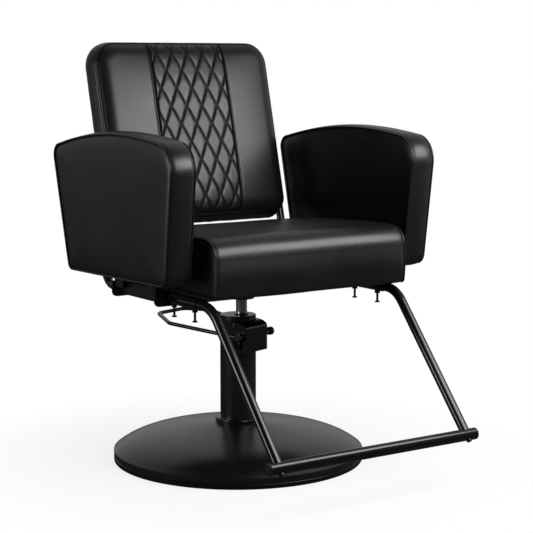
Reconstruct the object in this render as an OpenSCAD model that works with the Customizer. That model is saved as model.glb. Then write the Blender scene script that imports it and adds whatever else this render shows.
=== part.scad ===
// Hairdressing chair on a round base with a foot-operated hydraulic pump.
// Millimetres, +Z up. The origin is on the floor, under the axis that the seat turns on.
// The sitter faces -Y and has the sitter's left hand at +X.

/* [Base] */
// Radius of the round base
base_r = 300; // [270:5:330]
// Thickness of the steel floor plate
plate_t = 10; // [8:1:12]
// Height of the rim band that wraps the plate
band_h = 13; // [13:1:18]
// Radial width of the rim band
band_w = 9; // [6:1:14]
// Height of the cover's upright skirt above the rim band
skirt_h = 13; // [8:1:18]
// Height of the cover's flat top above the floor
cover_top = 88; // [80:1:100]
// Wall of the sheet-metal cover
cover_t = 1.6; // [1.2:0.2:2.4]
// How far the base centre lies behind the seat's axis, across the pump's front
ram_offset = 6; // [3:1:7]

/* [Column] */
// Outer radius of the column
column_r = 43; // [41:0.5:45]
// Wall of the column tube
column_wall = 3; // [2:0.5:4]
// Height of the joint between the column tube and the pump head
head_bottom = 262; // [240:2:266]
// Height of the top of the pump cap
cap_top = 350; // [346:1:354]
// Thickness of the pump cap
cap_t = 12; // [9:1:14]
// Outer radius of the collar at the column's foot
collar_r = 55; // [51:1:60]
// Height of the collar
collar_h = 13; // [9:1:16]
// Radius of the flange at the column's foot
flange_r = 75; // [70:1:85]
// Thickness of that flange
flange_t = 8; // [6:1:10]

/* [Pump] */
// Turn of the pump's front away from the chair's front, in degrees
pump_turn = 18.7; // [0:0.1:30]
// Height of the crank shaft
shaft_z = 303; // [300:1:306]
// Distance of the crank shaft in front of the column's axis
shaft_front = 41; // [40:0.5:43]
// Radius of the crank shaft
shaft_r = 6; // [5:0.5:7]
// Distance of the shroud's front face from the column's axis
shroud_front = 56; // [54:0.5:60]
// Height of the bottom of the shroud
shroud_bottom = 265; // [262:1:272]
// Height at which the shroud's front face turns over
shroud_shoulder = 323; // [318:1:328]
// Sheet thickness of the shroud
shroud_t = 3; // [2:0.5:4]
// Radius of the ram
ram_r = 13.3; // [11.5:0.1:15]
// Lift of the seat
ram_travel = 150; // [100:5:160]
// Stroke of the pedal, in degrees
pedal_stroke = 24; // [15:1:26]

/* [Pedal] */
// Radius of the pedal's rod
rod_r = 4.8; // [4:0.2:5.4]
// Upward slope of the pedal at rest, in degrees
pedal_slope = 3.5; // [1:0.5:6]
// Left arm's distance from the column's axis
pedal_left = 50; // [50:0.5:54]
// Right arm's distance from the column's axis at the shaft
pedal_right = 73; // [70:1:84]
// Distance of the far bar behind the shaft
pedal_length = 312; // [280:2:340]
// Bend radius of the pedal's rod
pedal_bend = 26; // [20:1:34]

/* [Seat frame] */
// Distance of each cross plate's outer face from the seat's axis
cross_y = 100; // [90:1:110]
// How far the cross plates reach past the arms' inner faces
cross_past = 3; // [0:1:5]
// Height of the cross plates' lower edge
cross_bottom = 405; // [402:0.5:408]
// Thickness of the cross plates
cross_t = 5; // [4:0.5:7]
// Height of the frame's top, where the seat lies
frame_top = 442; // [440:0.5:446]
// How far the side rails stand out past the seat's sides
rail_out = 18; // [13:0.5:21]
// Width of the side rails
rail_w = 18; // [14:1:20]
// Height of the side rails' lower face
rail_bottom = 410; // [408:0.5:414]
// Length of the steel hub under the seat
hub_h = 20; // [14:1:24]

/* [Footrest] */
// How far the footrest's tubes lie inside the seat's sides
foot_in = 6.3; // [0:0.1:16]
// Height of the level part of the tubes
foot_z = 423; // [420:0.5:426]
// Radius of the footrest's tubes
foot_r = 11; // [9:0.5:12]
// Wall of the footrest's tubes
foot_wall = 2; // [1.5:0.5:3]
// Distance of the footrest bar in front of the seat's axis
bar_front = 525; // [500:5:560]
// Height of the footrest bar's centre
bar_z = 124; // [100:2:170]
// Radius of the footrest bar
bar_r = 13.5; // [12.5:0.5:16]
// How far the footrest bar reaches past its tubes, without its caps
bar_past = 22.3; // [18:0.1:45]
// Slope of the tubes below the horizontal, in degrees
foot_slope = 49.5; // [44:0.5:56]
// Bend radius of the tubes
foot_bend = 76; // [60:1:90]
// Length of each clamp sleeve
sleeve_l = 122; // [100:1:124]
// How far the footrest pulls out
foot_travel = 55; // [30:5:60]

/* [Seat cushion] */
// Half width of the seat cushion, without its bulge
seat_half = 261; // [235:1:285]
// Distance of the seat's front face from the axis
seat_front = 296; // [280:1:310]
// Distance of the seat's rear face behind the axis
seat_rear = 170; // [165:1:172]
// Height of the seat's front top edge
seat_top = 571; // [560:1:574]
// Drop of the seat's top from its front edge to its rear edge
seat_drop = 22; // [12:1:26]
// Swell of the top in the middle
seat_crown = 6; // [3:1:8]
// Roll radius of the front top edge
seat_roll = 44; // [30:1:50]
// Thickness of the plywood board in the seat
board_t = 15; // [12:1:20]

/* [Backrest] */
// How much narrower the backrest is than the seat, on each side
back_in = 16; // [16:1:36]
// Length of the backrest along its slope
back_length = 434; // [400:1:460]
// Distance of the backrest's lower front edge behind the seat's axis
back_y = 157; // [155:1:162]
// Height of the backrest's lower front edge
back_z = 576; // [575:1:590]
// Lean of the backrest, in degrees
recline = 14; // [10:0.5:18]
// Thickness of the padded part
back_pad_t = 62; // [50:1:70]
// Thickness of the board behind the pad
back_board_t = 10; // [8:1:14]
// Corner radius of the backrest
back_corner = 56; // [30:1:75]
// Half width of the quilted middle panel
quilt_half = 104; // [95:1:120]
// Half height of one sewn diamond
diamond_half = 45; // [38:1:50]
// Height of the puffed diamonds
diamond_puff = 6; // [3:0.5:9]

/* [Arms] */
// Gap between the seat and each arm
arm_gap = 33; // [31:1:41]
// Thickness of the arms
arm_t = 66; // [50:1:75]
// Height of the arms' underside at the front
arm_bottom = 470; // [464:1:475]
// Height of the arms' underside at the rear
arm_rear_low = 463; // [458:1:470]
// Height of the arms' front top corner
arm_front_top = 780; // [760:1:800]
// Height of the arms' rear top corner
arm_rear_top = 760; // [740:1:780]
// Swell of the arms' top line
arm_dome = 21; // [8:1:26]
// Front end of the arms at the top, in front of the axis
arm_front = 277; // [260:1:290]
// Rear end of the arms at the top, behind the axis
arm_rear = 263; // [245:1:275]
// Outward lean of the arms, in degrees
arm_lean = 0.5; // [0:0.1:1]

/* [Hidden] */

$fn = 72;
cut = 1;          // overrun of every cut past the face that it opens
run_gap = 0.05;   // radial clearance of a turning or sliding fit
slack = 0.3;      // clearance where a loose piece lies beside another
half = 1 / 2;
bend_swell = 0.05; // extra thickness of a tube's wall, inside and out, in a bend
bend_lap = 0.4;    // how far a straight run reaches into a bend

// Widths that follow the seat's
upright_out = 2;   // the uprights' middle stands this far outside the seat's sides
arm_inner = seat_half + arm_gap;
cross_half = arm_inner + cross_past;
rail_x = seat_half + rail_out;
foot_x = seat_half - foot_in;
bar_half = foot_x + bar_past;
back_half = seat_half - back_in;
upright_x = seat_half + upright_out;

// Base
plate_r = base_r - band_w;
band_edge = 1.5;              // chamfer on the rim band
cover_fall_share = 0.58;      // share of the cover's height that falls as a straight cone
cover_power = 6;              // how sharply the cover's shoulder turns down
cover_spacing = 0.42;         // how far the cover's points crowd towards its rim
cover_steps = 14;
cover_gap = 2;                // gap between the cover and the column
cover_hole = column_r + cover_gap;
collar_round = 4;
bolt_r = 5;
bolt_head_r = 9;
bolt_head_h = 6.4;
bolt_circle = (column_r + flange_r) * half;
bolt_count = 4;
bolt_recess = 1;              // how far the bolts end above the plate's underside

// Pump head and the parts inside the column
cylinder_r = 22;
cylinder_bore = 18.15;
gland_room = 38;                   // height between the oil cylinder's top and the cap
cylinder_top = cap_top - cap_t - gland_room;
oil_gap = 3;                       // oil left under a piston at its lowest
spigot_h = 15;
bush_r = 18;
bush_h = 30;
wiper_h = 2.5;
wiper_edge = 1.2;
piston_r = cylinder_bore - run_gap;
piston_h = 24;
piston_bottom = plate_t + flange_t + oil_gap;
seal_w = 5;
seal_depth = 2.4;
mount_lift = 3;                    // mount plate's height above the cross plates' lower edge
mount_bottom = cross_bottom + mount_lift;
mount_plate_t = 5;
mount_plate_half = 105;
hub_bottom = mount_bottom - hub_h;
hub_r = 30;
washer_t = 2;
washer_r = 20;
neck_step = 2.5;                   // shoulder that the washer rests on
neck_r = ram_r - neck_step;
neck_out = 3;                      // how far the neck stands out of the mount plate
neck_top = mount_bottom + mount_plate_t + neck_out;
behind_shaft = 9;                  // the head is cut back to a flat this far behind the shaft
crank_room = shaft_front - behind_shaft;
finger_u = 26;                     // crank finger's distance left of the column's axis
finger_w = 10;
finger_half = 5;
finger_reach = 17;
plunger_r = 5;
plunger_top = shaft_z - finger_half - slack;
bore_floor = 4;                    // metal left under the plunger's bore
plunger_bottom = head_bottom + bore_floor;
crank_depth = 22;                  // room under the shaft, down to the head around the plunger
plunger_floor = shaft_z - crank_depth;
finger_room = 36;                  // height of the room that the finger turns in
plunger_stroke = finger_reach * pedal_stroke * PI / 180;

// Shroud
shroud_half = column_r - 1;
shroud_roll = 38;                  // depth of the shroud's rounded top, front to back
shroud_top = cap_top - cap_t - slack;
shroud_steps = 8;
shroud_back = 10;                  // the cheeks end this far in front of the column's axis
bush_sleeve_r = 8;
bush_flange_r = 9;
bush_flange_t = 2;
window_edge = 9;
screw_r = 3;
screw_head_r = 5.5;
screw_head_h = 2.6;
screw_grip = 2;                    // how far a screw's end stands out of a wall
cheek_screw_v = -22;
cheek_screw_z = 328;
cheek_screw_l = 12;

// Pedal
hub_ring_r = 10;
hub_ring_w = 11;
far_left = 21;            // ends of the far bar, across the column's axis
far_right = 121;
left_turn_in = 98;        // the left arm turns in this far before the far bar
right_corner = 156;
right_turn_in = 55;
pedal_path = [[-pedal_left, 0], [-pedal_left, pedal_length - left_turn_in], [far_left, pedal_length],
    [far_right, pedal_length], [right_corner, pedal_length - right_turn_in], [pedal_right, 0]];

// Seat frame
flange_leg = 30;
leg_t = 4;
plate_corner = 12;
rail_corner = 8;
rail_wall = 2;
seat_screw_x = [-rail_x * half, rail_x * half];
nut_r = 7;
nut_drop = 6;
thumb_r = 2.8;
thumb_head_r = 6.2;
thumb_head_t = 3;
thumb_length = 30;
thumb_front_in = 21;      // distance of the thumb screws from the sleeve's ends
thumb_rear_in = 13;
thumb_front = cross_y + sleeve_l - thumb_front_in;
thumb_rear = cross_y + thumb_rear_in;
sleeve_wall = 2;
sleeve_r = foot_r + run_gap + sleeve_wall;
stop_gap = 1.3;
foot_stop = cross_y + stop_gap;

// Footrest: the level run, then straight down the slope to the bar
foot_corner = bar_front - (foot_z - bar_z) / tan(foot_slope);
cap_edge = 2.5;
bar_cap_t = 5;
cap_dome = 1;
bar_wall = 2;
bar_screw_r = 6;
bar_screw_h = 4;

// Uprights of the back
upright_r = 10;
upright_wall = 2;
upright_bend = 40;
upright_depth = back_pad_t + back_board_t - upright_r;
upright_top = 190;
upright_rise = 17;
upright_z = cross_bottom + upright_rise;
strap_t = 5;
strap_h = 40;
strap_reach = 80;
strap_low = 45;
strap_high = 150;

// Arm brackets and boards
bracket_w = 40;
bracket_t = 5;
bracket_rise = 131;
bolt_bite = 8;            // how far the bolts reach into a board
arm_board_t = 12;
arm_board_in = 10;
arm_board_h = 190;
arm_board_half = 150;
arm_bolt_low = 20;
arm_bolt_high = 70;
arm_edge = 5;
arm_face_bulge = 1;
arm_box_bulge = 3;
arm_low_front = 250;
arm_low_rear = 203;
front_corner = 62;
rear_corner = 30;
low_front_corner = 28;
low_rear_corner = 20;

// Cushions
seat_edge = 6;
seat_side_bulge = 6;
seat_front_bow = 3;
seat_lip = 3;             // the front's lower edge hangs this far below the frame's top
panel_power = 4;          // how full a side panel stays towards its seam
board_in = 12;
back_edge = 7;
back_crown = 9;
back_side_bulge = 5;
back_low_bulge = 11;
diamond_step = 11;
first_diamond = 28;
seam_sink = 3;
seam_margin = 3;          // no quilting this close to the panel's seams
row_margin = 4;           // no quilting row this close to the rim

// Colours
black_satin = [0.05, 0.05, 0.055];
black_gloss = [0.02, 0.02, 0.022];
leather_black = [0.07, 0.07, 0.075];
steel = [0.6, 0.61, 0.62];
chrome_grey = [0.82, 0.83, 0.85];
rubber_black = [0.08, 0.08, 0.08];
plywood = [0.72, 0.56, 0.37];
bronze = [0.66, 0.5, 0.3];

// Points of an arc about a centre, from one angle to another
function arc(c, r, from, to, steps) =
    [for (i = [0:steps]) c + r * [cos(from + (to - from) * i / steps), sin(from + (to - from) * i / steps)]];

// Height of the cover at a distance from its axis
function cover_z(r) =
    let (share = (r - collar_r) / (base_r - collar_r), skirt_top = band_h + skirt_h)
    cover_top - (cover_top - skirt_top)
        * (cover_fall_share * share + (1 - cover_fall_share) * pow(share, cover_power));

// A rectangle with a round corner at two of its corners, as an outline
function round_low_plate(hw, low, high, r) = concat(
    [[-hw, high]], arc([-hw + r, low + r], r, 180, 270, 6),
    arc([hw - r, low + r], r, 270, 360, 6), [[hw, high]]);

module ring(outer, inner) {
    difference() {
        circle(r = outer);
        if (inner > 0) circle(r = inner);
    }
}

module tube(outer, inner, h) {
    linear_extrude(height = h) ring(outer, inner);
}

// A disc with rounded rims, standing on z = 0
module round_disc(r, h, edge) {
    rotate_extrude()
        polygon(concat([[0, 0], [r - edge, 0]], arc([r - edge, edge], edge, -90, 0, 4),
            arc([r - edge, h - edge], edge, 0, 90, 4), [[0, h]]));
}

// A low pan head with a hexagon socket, seat face on z = 0, head towards +Z
module pan_screw(shank_r, shank_l, head_r, head_h) {
    socket_r = shank_r * half;
    difference() {
        union() {
            translate([0, 0, -shank_l]) cylinder(r = shank_r, h = shank_l);
            rotate_extrude()
                polygon(concat([[0, 0]], [[head_r, 0], [head_r, head_h / 3]],
                    arc([head_r - head_h * half, head_h * half], head_h * half, 20, 90, 3), [[0, head_h]]));
        }
        translate([0, 0, head_h * half]) cylinder(r = socket_r, h = head_h, $fn = 6);
    }
}

// Angle of the path's stretch that starts at point i
function heading(path, i) = atan2(path[i + 1].y - path[i].y, path[i + 1].x - path[i].x);
function wrap(a) = a > 180 ? a - 360 : a < -180 ? a + 360 : a;
function turn_at(path, i) = (i == 0 || i == len(path) - 1) ? 0 : wrap(heading(path, i) - heading(path, i - 1));
function tangent_at(path, i, bend_r) = bend_r * tan(abs(turn_at(path, i)) / 2);

// A bent tube along a flat path: true straight tubes joined by true bends, whose wall is a
// little thicker than the straight runs that end inside it
module bent_tube(path, bend_r, outer, inner) {
    last = len(path) - 1;
    for (i = [0:last - 1]) {
        a = heading(path, i);
        dir = [cos(a), sin(a)];
        lead = i > 0 ? bend_lap : 0;
        tail = i < last - 1 ? bend_lap : 0;
        start = path[i] + dir * (tangent_at(path, i, bend_r) - lead);
        run = norm(path[i + 1] - path[i]) - tangent_at(path, i, bend_r)
            - tangent_at(path, i + 1, bend_r) + lead + tail;
        translate([start.x, start.y, 0]) rotate([0, 90, a]) tube(outer, inner, run);
    }
    for (i = [1:last - 1]) {
        a = heading(path, i - 1);
        turn = turn_at(path, i);
        side = turn > 0 ? 1 : -1;
        start = path[i] - [cos(a), sin(a)] * tangent_at(path, i, bend_r);
        centre = start + side * bend_r * [-sin(a), cos(a)];
        from = turn > 0 ? a - 90 : a + 90 + turn;
        translate([centre.x, centre.y, 0]) rotate([0, 0, from])
            rotate_extrude(angle = abs(turn)) translate([bend_r, 0])
                ring(outer + bend_swell, inner > 0 ? inner - bend_swell : 0);
    }
}

// Outward normal of a counter-clockwise outline at point i
function outward(o, i) =
    let (m = len(o), a = o[(i + m - 1) % m], b = o[(i + 1) % m], t = [b.x - a.x, b.y - a.y])
    [t.y, -t.x] / norm(t);

// Triangles between ring a and the next ring of m points, the first ring at index first
function band_faces(m, first, flip = false) = [
    for (i = [0:m - 1])
        let (a = first + i, b = first + (i + 1) % m, c = a + m, d = b + m)
        each (flip ? [[a, d, b], [a, c, d]] : [[a, b, d], [a, d, c]])];
function fan_faces(m, first, tip, flip = false) = [
    for (i = [0:m - 1])
        let (a = first + i, b = first + (i + 1) % m)
        flip ? [a, tip, b] : [a, b, tip]];

// An upholstered slab: an outline in Y and Z, thick along X, with side panels that
// swell between their seams and a border that swells between them.
// outline entries are [y, z, swell], counter-clockwise as seen from +X
module padded_slab(outline, half_t, edge, panel_swell, border_steps) {
    m = len(outline);
    flat = [for (p = outline) [p.x, p.y]];
    middle = [for (k = [0, 1]) (max([for (p = flat) p[k]]) + min([for (p = flat) p[k]])) * half];
    inner_t = half_t - edge;
    panel_shares = [0.4, 0.75];
    edge_turns = [0, 45, 90];
    // each ring is [x, inset, share of the border's swell, scale towards the middle]
    left = concat(
        [for (s = panel_shares) [-half_t - panel_swell * (1 - pow(s, panel_power)), edge, 0, s]],
        [for (a = edge_turns) [-inner_t - edge * cos(a), edge * (1 - sin(a)), 0, 1]]);
    border = [for (k = [1:1:border_steps])
        let (w = -1 + 2 * k / (border_steps + 1)) [inner_t * w, 0, 1 - w * w, 1]];
    right = [for (k = [len(left) - 1:-1:0]) [-left[k][0], left[k][1], left[k][2], left[k][3]]];
    rings = concat(left, border, right);
    points = concat(
        [for (r = rings, i = [0:m - 1])
            let (p = flat[i] + outward(flat, i) * (outline[i][2] * r[2] - r[1]),
                 q = middle + (p - middle) * r[3])
            [r[0], q.x, q.y]],
        [[-half_t - panel_swell, middle.x, middle.y], [half_t + panel_swell, middle.x, middle.y]]);
    count = len(rings) * m;
    faces = concat(
        fan_faces(m, 0, count, false),
        [for (k = [0:len(rings) - 2]) each band_faces(m, k * m, true)],
        fan_faces(m, (len(rings) - 1) * m, count + 1, true));
    polyhedron(points = points, faces = faces);
}

// The pump's own frame: u along the crank shaft, v to the back, both from the column's axis
module at_pump() {
    rotate([0, 0, pump_turn]) translate([-ram_offset, ram_offset, 0]) children();
}
ram_u = ram_offset;
ram_v = -ram_offset;

module base_plate() {
    color(steel) at_pump() difference() {
        cylinder(r = plate_r, h = plate_t);
        for (i = [0:bolt_count - 1])
            rotate([0, 0, 45 + i * 360 / bolt_count]) translate([bolt_circle, 0, -cut])
                cylinder(r = bolt_r, h = plate_t + 2 * cut);
    }
}

module base_band() {
    color(rubber_black) at_pump() rotate_extrude($fn = 144)
        polygon([[plate_r, 0], [base_r - band_edge, 0], [base_r, band_edge],
            [base_r, band_h - 2 * band_edge], [base_r - 2 * band_edge, band_h], [plate_r, band_h]]);
}

module base_cover() {
    reach = base_r - collar_r;
    outer = concat(
        [[cover_hole, cover_top]],
        [for (i = [0:cover_steps])
            let (r = collar_r + reach * pow(i / cover_steps, cover_spacing)) [r, cover_z(r)]],
        [[base_r, band_h]]);
    inner = concat(
        [[base_r - cover_t, band_h]],
        [for (i = [cover_steps:-1:0])
            let (r = collar_r + (reach - cover_t) * pow(i / cover_steps, cover_spacing))
            [r, cover_z(r + cover_t) - cover_t]],
        [[cover_hole, cover_top - cover_t]]);
    color(black_satin) at_pump() rotate_extrude($fn = 144) polygon(concat(outer, inner));
}

module pump_flange() {
    color(black_satin) at_pump() translate([0, 0, plate_t]) difference() {
        cylinder(r = flange_r, h = flange_t);
        for (i = [0:bolt_count - 1])
            rotate([0, 0, 45 + i * 360 / bolt_count]) translate([bolt_circle, 0, -cut])
                cylinder(r = bolt_r, h = flange_t + 2 * cut);
    }
}

module flange_bolts() {
    color(steel) at_pump() for (i = [0:bolt_count - 1])
        rotate([0, 0, 45 + i * 360 / bolt_count]) translate([bolt_circle, 0, 0]) {
            translate([0, 0, bolt_recess])
                cylinder(r = bolt_r - run_gap, h = plate_t + flange_t - bolt_recess);
            translate([0, 0, plate_t + flange_t]) cylinder(r = bolt_head_r, h = bolt_head_h, $fn = 6);
        }
}

module column_tube() {
    low = plate_t + flange_t;
    color(black_satin) at_pump() translate([0, 0, low])
        tube(column_r, column_r - column_wall, head_bottom - low);
}

module column_collar() {
    inner = column_r + run_gap;
    color(black_gloss) at_pump() translate([0, 0, cover_top]) rotate_extrude()
        polygon(concat([[inner, 0], [collar_r, 0]],
            arc([collar_r - collar_round, collar_h - collar_round], collar_round, 0, 90, 6),
            [[inner, collar_h]]));
}

module pump_head() {
    top = cap_top - cap_t;
    color(black_gloss) at_pump() difference() {
        union() {
            translate([0, 0, head_bottom]) cylinder(r = column_r, h = top - head_bottom);
            translate([0, 0, head_bottom - spigot_h])
                cylinder(r = column_r - column_wall - run_gap, h = spigot_h);
        }
        // bore for the oil cylinder, then for the bush
        translate([ram_u, ram_v, head_bottom - spigot_h - cut])
            cylinder(r = cylinder_r, h = cylinder_top - head_bottom + spigot_h + cut);
        translate([ram_u, ram_v, cylinder_top - cut]) cylinder(r = bush_r, h = top);
        // room for the crank in front
        translate([-2 * column_r, -2 * column_r, plunger_floor])
            cube([4 * column_r, 2 * column_r - crank_room, top]);
        // room for the crank finger
        translate([-finger_u - finger_w, -2 * column_r, plunger_floor])
            cube([2 * finger_w, 2 * column_r - shaft_front + finger_reach + 2 * plunger_r, finger_room]);
        // plunger bore
        translate([-finger_u, -shaft_front + finger_reach, plunger_bottom])
            cylinder(r = plunger_r + run_gap, h = plunger_top - plunger_bottom);
        // holes for the shroud's screws
        for (side = [-1, 1]) at_cheek_screw(side)
            translate([0, 0, -cheek_screw_l - run_gap]) cylinder(r = screw_r, h = 2 * cheek_screw_l);
    }
}

module oil_cylinder() {
    low = plate_t + flange_t;
    color(steel) at_pump() translate([ram_u, ram_v, low])
        tube(cylinder_r, cylinder_bore, cylinder_top - low);
}

module pump_cap() {
    color(black_satin) at_pump() difference() {
        translate([0, 0, cap_top - cap_t]) round_disc(column_r + run_gap, cap_t, wiper_edge);
        translate([ram_u, ram_v, cap_top - cap_t - cut]) cylinder(r = bush_r, h = cap_t + 2 * cut);
    }
}

module ram_bush() {
    inner = ram_r + run_gap;
    color(black_satin) translate([0, 0, cap_top - bush_h]) rotate_extrude()
        polygon([[inner, 0], [bush_r, 0], [bush_r, bush_h], [bush_r - wiper_edge, bush_h + wiper_h],
            [inner, bush_h + wiper_h]]);
}

// On a cheek of the shroud, facing out
module at_cheek_screw(side) {
    translate([side * shroud_half, cheek_screw_v, cheek_screw_z]) rotate([0, side * 90, 0]) children();
}

module pump_shroud() {
    back = -shroud_front + shroud_roll;
    rise = shroud_top - shroud_shoulder;
    outline = concat([[-shroud_back, shroud_bottom], [-shroud_back, shroud_top]],
        [for (i = [0:shroud_steps]) let (a = 90 + 90 * i / shroud_steps)
            [back + shroud_roll * cos(a), shroud_shoulder + rise * sin(a)]],
        [[-shroud_front, shroud_bottom]]);
    hollow = concat([[-shroud_back + cut, shroud_bottom - cut], [-shroud_back + cut, shroud_top - shroud_t]],
        [for (i = [0:shroud_steps]) let (a = 90 + 90 * i / shroud_steps)
            [back + (shroud_roll - shroud_t) * cos(a), shroud_shoulder + (rise - shroud_t) * sin(a)]],
        [[-shroud_front + shroud_t, shroud_bottom - cut]]);
    color(black_gloss) at_pump() difference() {
        translate([-shroud_half, 0, 0]) rotate([90, 0, 90])
            linear_extrude(height = 2 * shroud_half) polygon(outline);
        translate([-shroud_half + shroud_t, 0, 0]) rotate([90, 0, 90])
            linear_extrude(height = 2 * (shroud_half - shroud_t)) polygon(hollow);
        // the head's round body
        translate([0, 0, head_bottom - cut]) cylinder(r = column_r + run_gap, h = cap_top);
        // window in the left cheek, under the shaft
        translate([-shroud_half - cut, -shroud_front + window_edge, shroud_bottom + window_edge])
            cube([shroud_t + 2 * cut, shroud_front, shaft_z - shroud_bottom - window_edge - hub_ring_r]);
        // bores for the shaft's bushes
        translate([-shroud_half - cut, -shaft_front, shaft_z]) rotate([0, 90, 0])
            cylinder(r = bush_sleeve_r, h = 2 * shroud_half + 2 * cut);
        for (side = [-1, 1]) at_cheek_screw(side)
            translate([0, 0, -shroud_t - cut]) cylinder(r = screw_r, h = shroud_t + 2 * cut);
    }
}

module shroud_screws() {
    color(black_satin) at_pump() for (side = [-1, 1]) at_cheek_screw(side)
        pan_screw(screw_r - run_gap, cheek_screw_l, screw_head_r, screw_head_h);
}

module shaft_bushes() {
    inner = shaft_r + run_gap;
    color(bronze) at_pump() for (side = [-1, 1])
        translate([side * (shroud_half - shroud_t), -shaft_front, shaft_z]) rotate([0, side * 90, 0])
            rotate_extrude() polygon([[inner, 0], [bush_sleeve_r, 0], [bush_sleeve_r, shroud_t],
                [bush_flange_r, shroud_t], [bush_flange_r, shroud_t + bush_flange_t],
                [inner, shroud_t + bush_flange_t]]);
}

module at_shaft() {
    at_pump() translate([0, -shaft_front, shaft_z]) children();
}

module crank_shaft() {
    left = -pedal_left - hub_ring_w * half;
    length = pedal_right + hub_ring_w * half - left;
    color(black_satin) at_shaft() translate([left, 0, 0]) rotate([0, 90, 0])
        cylinder(r = shaft_r, h = length);
}

module crank_finger() {
    color(steel) at_shaft() translate([-finger_u - finger_w * half, 0, 0]) rotate([90, 0, 90])
        difference() {
            linear_extrude(height = finger_w) union() {
                circle(r = hub_ring_r);
                translate([0, -finger_half]) square([finger_reach, 2 * finger_half]);
                translate([finger_reach, 0]) circle(r = finger_half);
            }
            translate([0, 0, -cut]) cylinder(r = shaft_r, h = finger_w + 2 * cut);
        }
}

module pedal_hubs() {
    color(black_gloss) at_shaft() for (u = [-pedal_left, pedal_right])
        translate([u - hub_ring_w * half, 0, 0]) rotate([0, 90, 0]) difference() {
            round_disc(hub_ring_r, hub_ring_w, wiper_edge);
            translate([0, 0, -cut]) cylinder(r = shaft_r, h = hub_ring_w + 2 * cut);
        }
}

module pedal_loop() {
    color(black_gloss) at_shaft() rotate([pedal_slope, 0, 0]) difference() {
        bent_tube(pedal_path, pedal_bend, rod_r, 0);
        for (u = [-pedal_left, pedal_right])
            translate([u - hub_ring_w, 0, 0]) rotate([0, 90, 0]) cylinder(r = hub_ring_r, h = 2 * hub_ring_w);
    }
}

module pump_plunger() {
    low = plunger_bottom + plunger_stroke + oil_gap;
    color(steel) at_pump() translate([-finger_u, -shaft_front + finger_reach, low])
        cylinder(r = plunger_r, h = plunger_top - low);
}

module ram_rod() {
    shoulder = hub_bottom - washer_t;
    color(chrome_grey) {
        translate([0, 0, piston_bottom + piston_h * half])
            cylinder(r = ram_r, h = shoulder - piston_bottom - piston_h * half);
        translate([0, 0, shoulder]) cylinder(r = neck_r, h = neck_top - shoulder);
    }
}

module ram_piston() {
    groove = piston_bottom + (piston_h - seal_w) * half;
    color(steel) difference() {
        translate([0, 0, piston_bottom]) cylinder(r = piston_r, h = piston_h);
        translate([0, 0, piston_bottom + piston_h * half]) cylinder(r = ram_r, h = piston_h);
        translate([0, 0, groove]) tube(piston_r + cut, piston_r - seal_depth, seal_w);
    }
}

module ram_seal() {
    groove = piston_bottom + (piston_h - seal_w) * half;
    color(rubber_black) translate([0, 0, groove]) tube(piston_r + run_gap * half, piston_r - seal_depth, seal_w);
}

module seat_hub() {
    color(black_satin) difference() {
        translate([0, 0, hub_bottom]) cylinder(r = hub_r, h = mount_bottom - hub_bottom);
        translate([0, 0, hub_bottom - cut]) cylinder(r = neck_r + run_gap, h = hub_h + 2 * cut);
    }
}

module swivel_washer() {
    color(bronze) translate([0, 0, hub_bottom - washer_t]) difference() {
        cylinder(r = washer_r, h = washer_t);
        translate([0, 0, -cut]) cylinder(r = neck_r + run_gap, h = washer_t + 2 * cut);
    }
}

module mount_plate() {
    reach = cross_y - cross_t;
    color(black_satin) translate([0, 0, mount_bottom]) difference() {
        translate([-mount_plate_half, -reach, 0]) cube([2 * mount_plate_half, 2 * reach, mount_plate_t]);
        translate([0, 0, -cut]) cylinder(r = neck_r + run_gap, h = mount_plate_t + 2 * cut);
    }
}

// A cross plate: an upright plate with a flange along its top, outer face towards -Y
module cross_plate() {
    color(black_satin) translate([0, -cross_y, 0]) difference() {
        union() {
            translate([0, cross_t, 0]) rotate([90, 0, 0]) linear_extrude(height = cross_t)
                polygon(round_low_plate(cross_half, cross_bottom, frame_top, plate_corner));
            translate([-rail_x + rail_w, cross_t - cut, frame_top - leg_t])
                cube([2 * (rail_x - rail_w), flange_leg - cross_t + cut, leg_t]);
        }
        for (x = seat_screw_x)
            translate([x, flange_leg * half + cross_t * half, frame_top - leg_t - cut])
                cylinder(r = screw_r, h = leg_t + 2 * cut);
    }
}

module front_cross_plate() cross_plate();
module rear_cross_plate() mirror([0, 1, 0]) cross_plate();

module side_rail() {
    high = frame_top;
    w = rail_w * half;
    reach = cross_y - cross_t;
    color(black_satin) translate([rail_x - w, reach, 0]) rotate([90, 0, 0])
        linear_extrude(height = 2 * reach) difference() {
            polygon(round_low_plate(w, rail_bottom, high, rail_corner));
            polygon(round_low_plate(w - rail_wall, rail_bottom + rail_wall, high - rail_wall,
                rail_corner - rail_wall));
        }
}
module left_side_rail() side_rail();
module right_side_rail() mirror([1, 0, 0]) side_rail();

module footrest_sleeve() {
    color(black_gloss) translate([foot_x, -cross_y, foot_z]) rotate([90, 0, 0]) difference() {
        tube(sleeve_r, foot_r + run_gap, sleeve_l);
        for (y = [thumb_front, thumb_rear])
            translate([0, 0, y - cross_y]) rotate([90, 0, 0]) cylinder(r = thumb_r + run_gap, h = 2 * sleeve_r);
    }
}
module left_footrest_sleeve() footrest_sleeve();
module right_footrest_sleeve() mirror([1, 0, 0]) footrest_sleeve();

nut_bottom = foot_z - sleeve_r - nut_drop;
module clamp_nuts() {
    color(black_gloss) for (side = [-1, 1], y = [thumb_front, thumb_rear])
        translate([side * foot_x, -y, nut_bottom]) difference() {
            cylinder(r = nut_r, h = nut_drop + sleeve_wall, $fn = 6);
            translate([0, 0, -cut]) cylinder(r = thumb_r + run_gap, h = 2 * nut_drop + 2 * cut);
            translate([0, nut_r + cut, sleeve_r + nut_drop]) rotate([90, 0, 0])
                cylinder(r = sleeve_r, h = 2 * nut_r + 2 * cut);
        }
}

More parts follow.
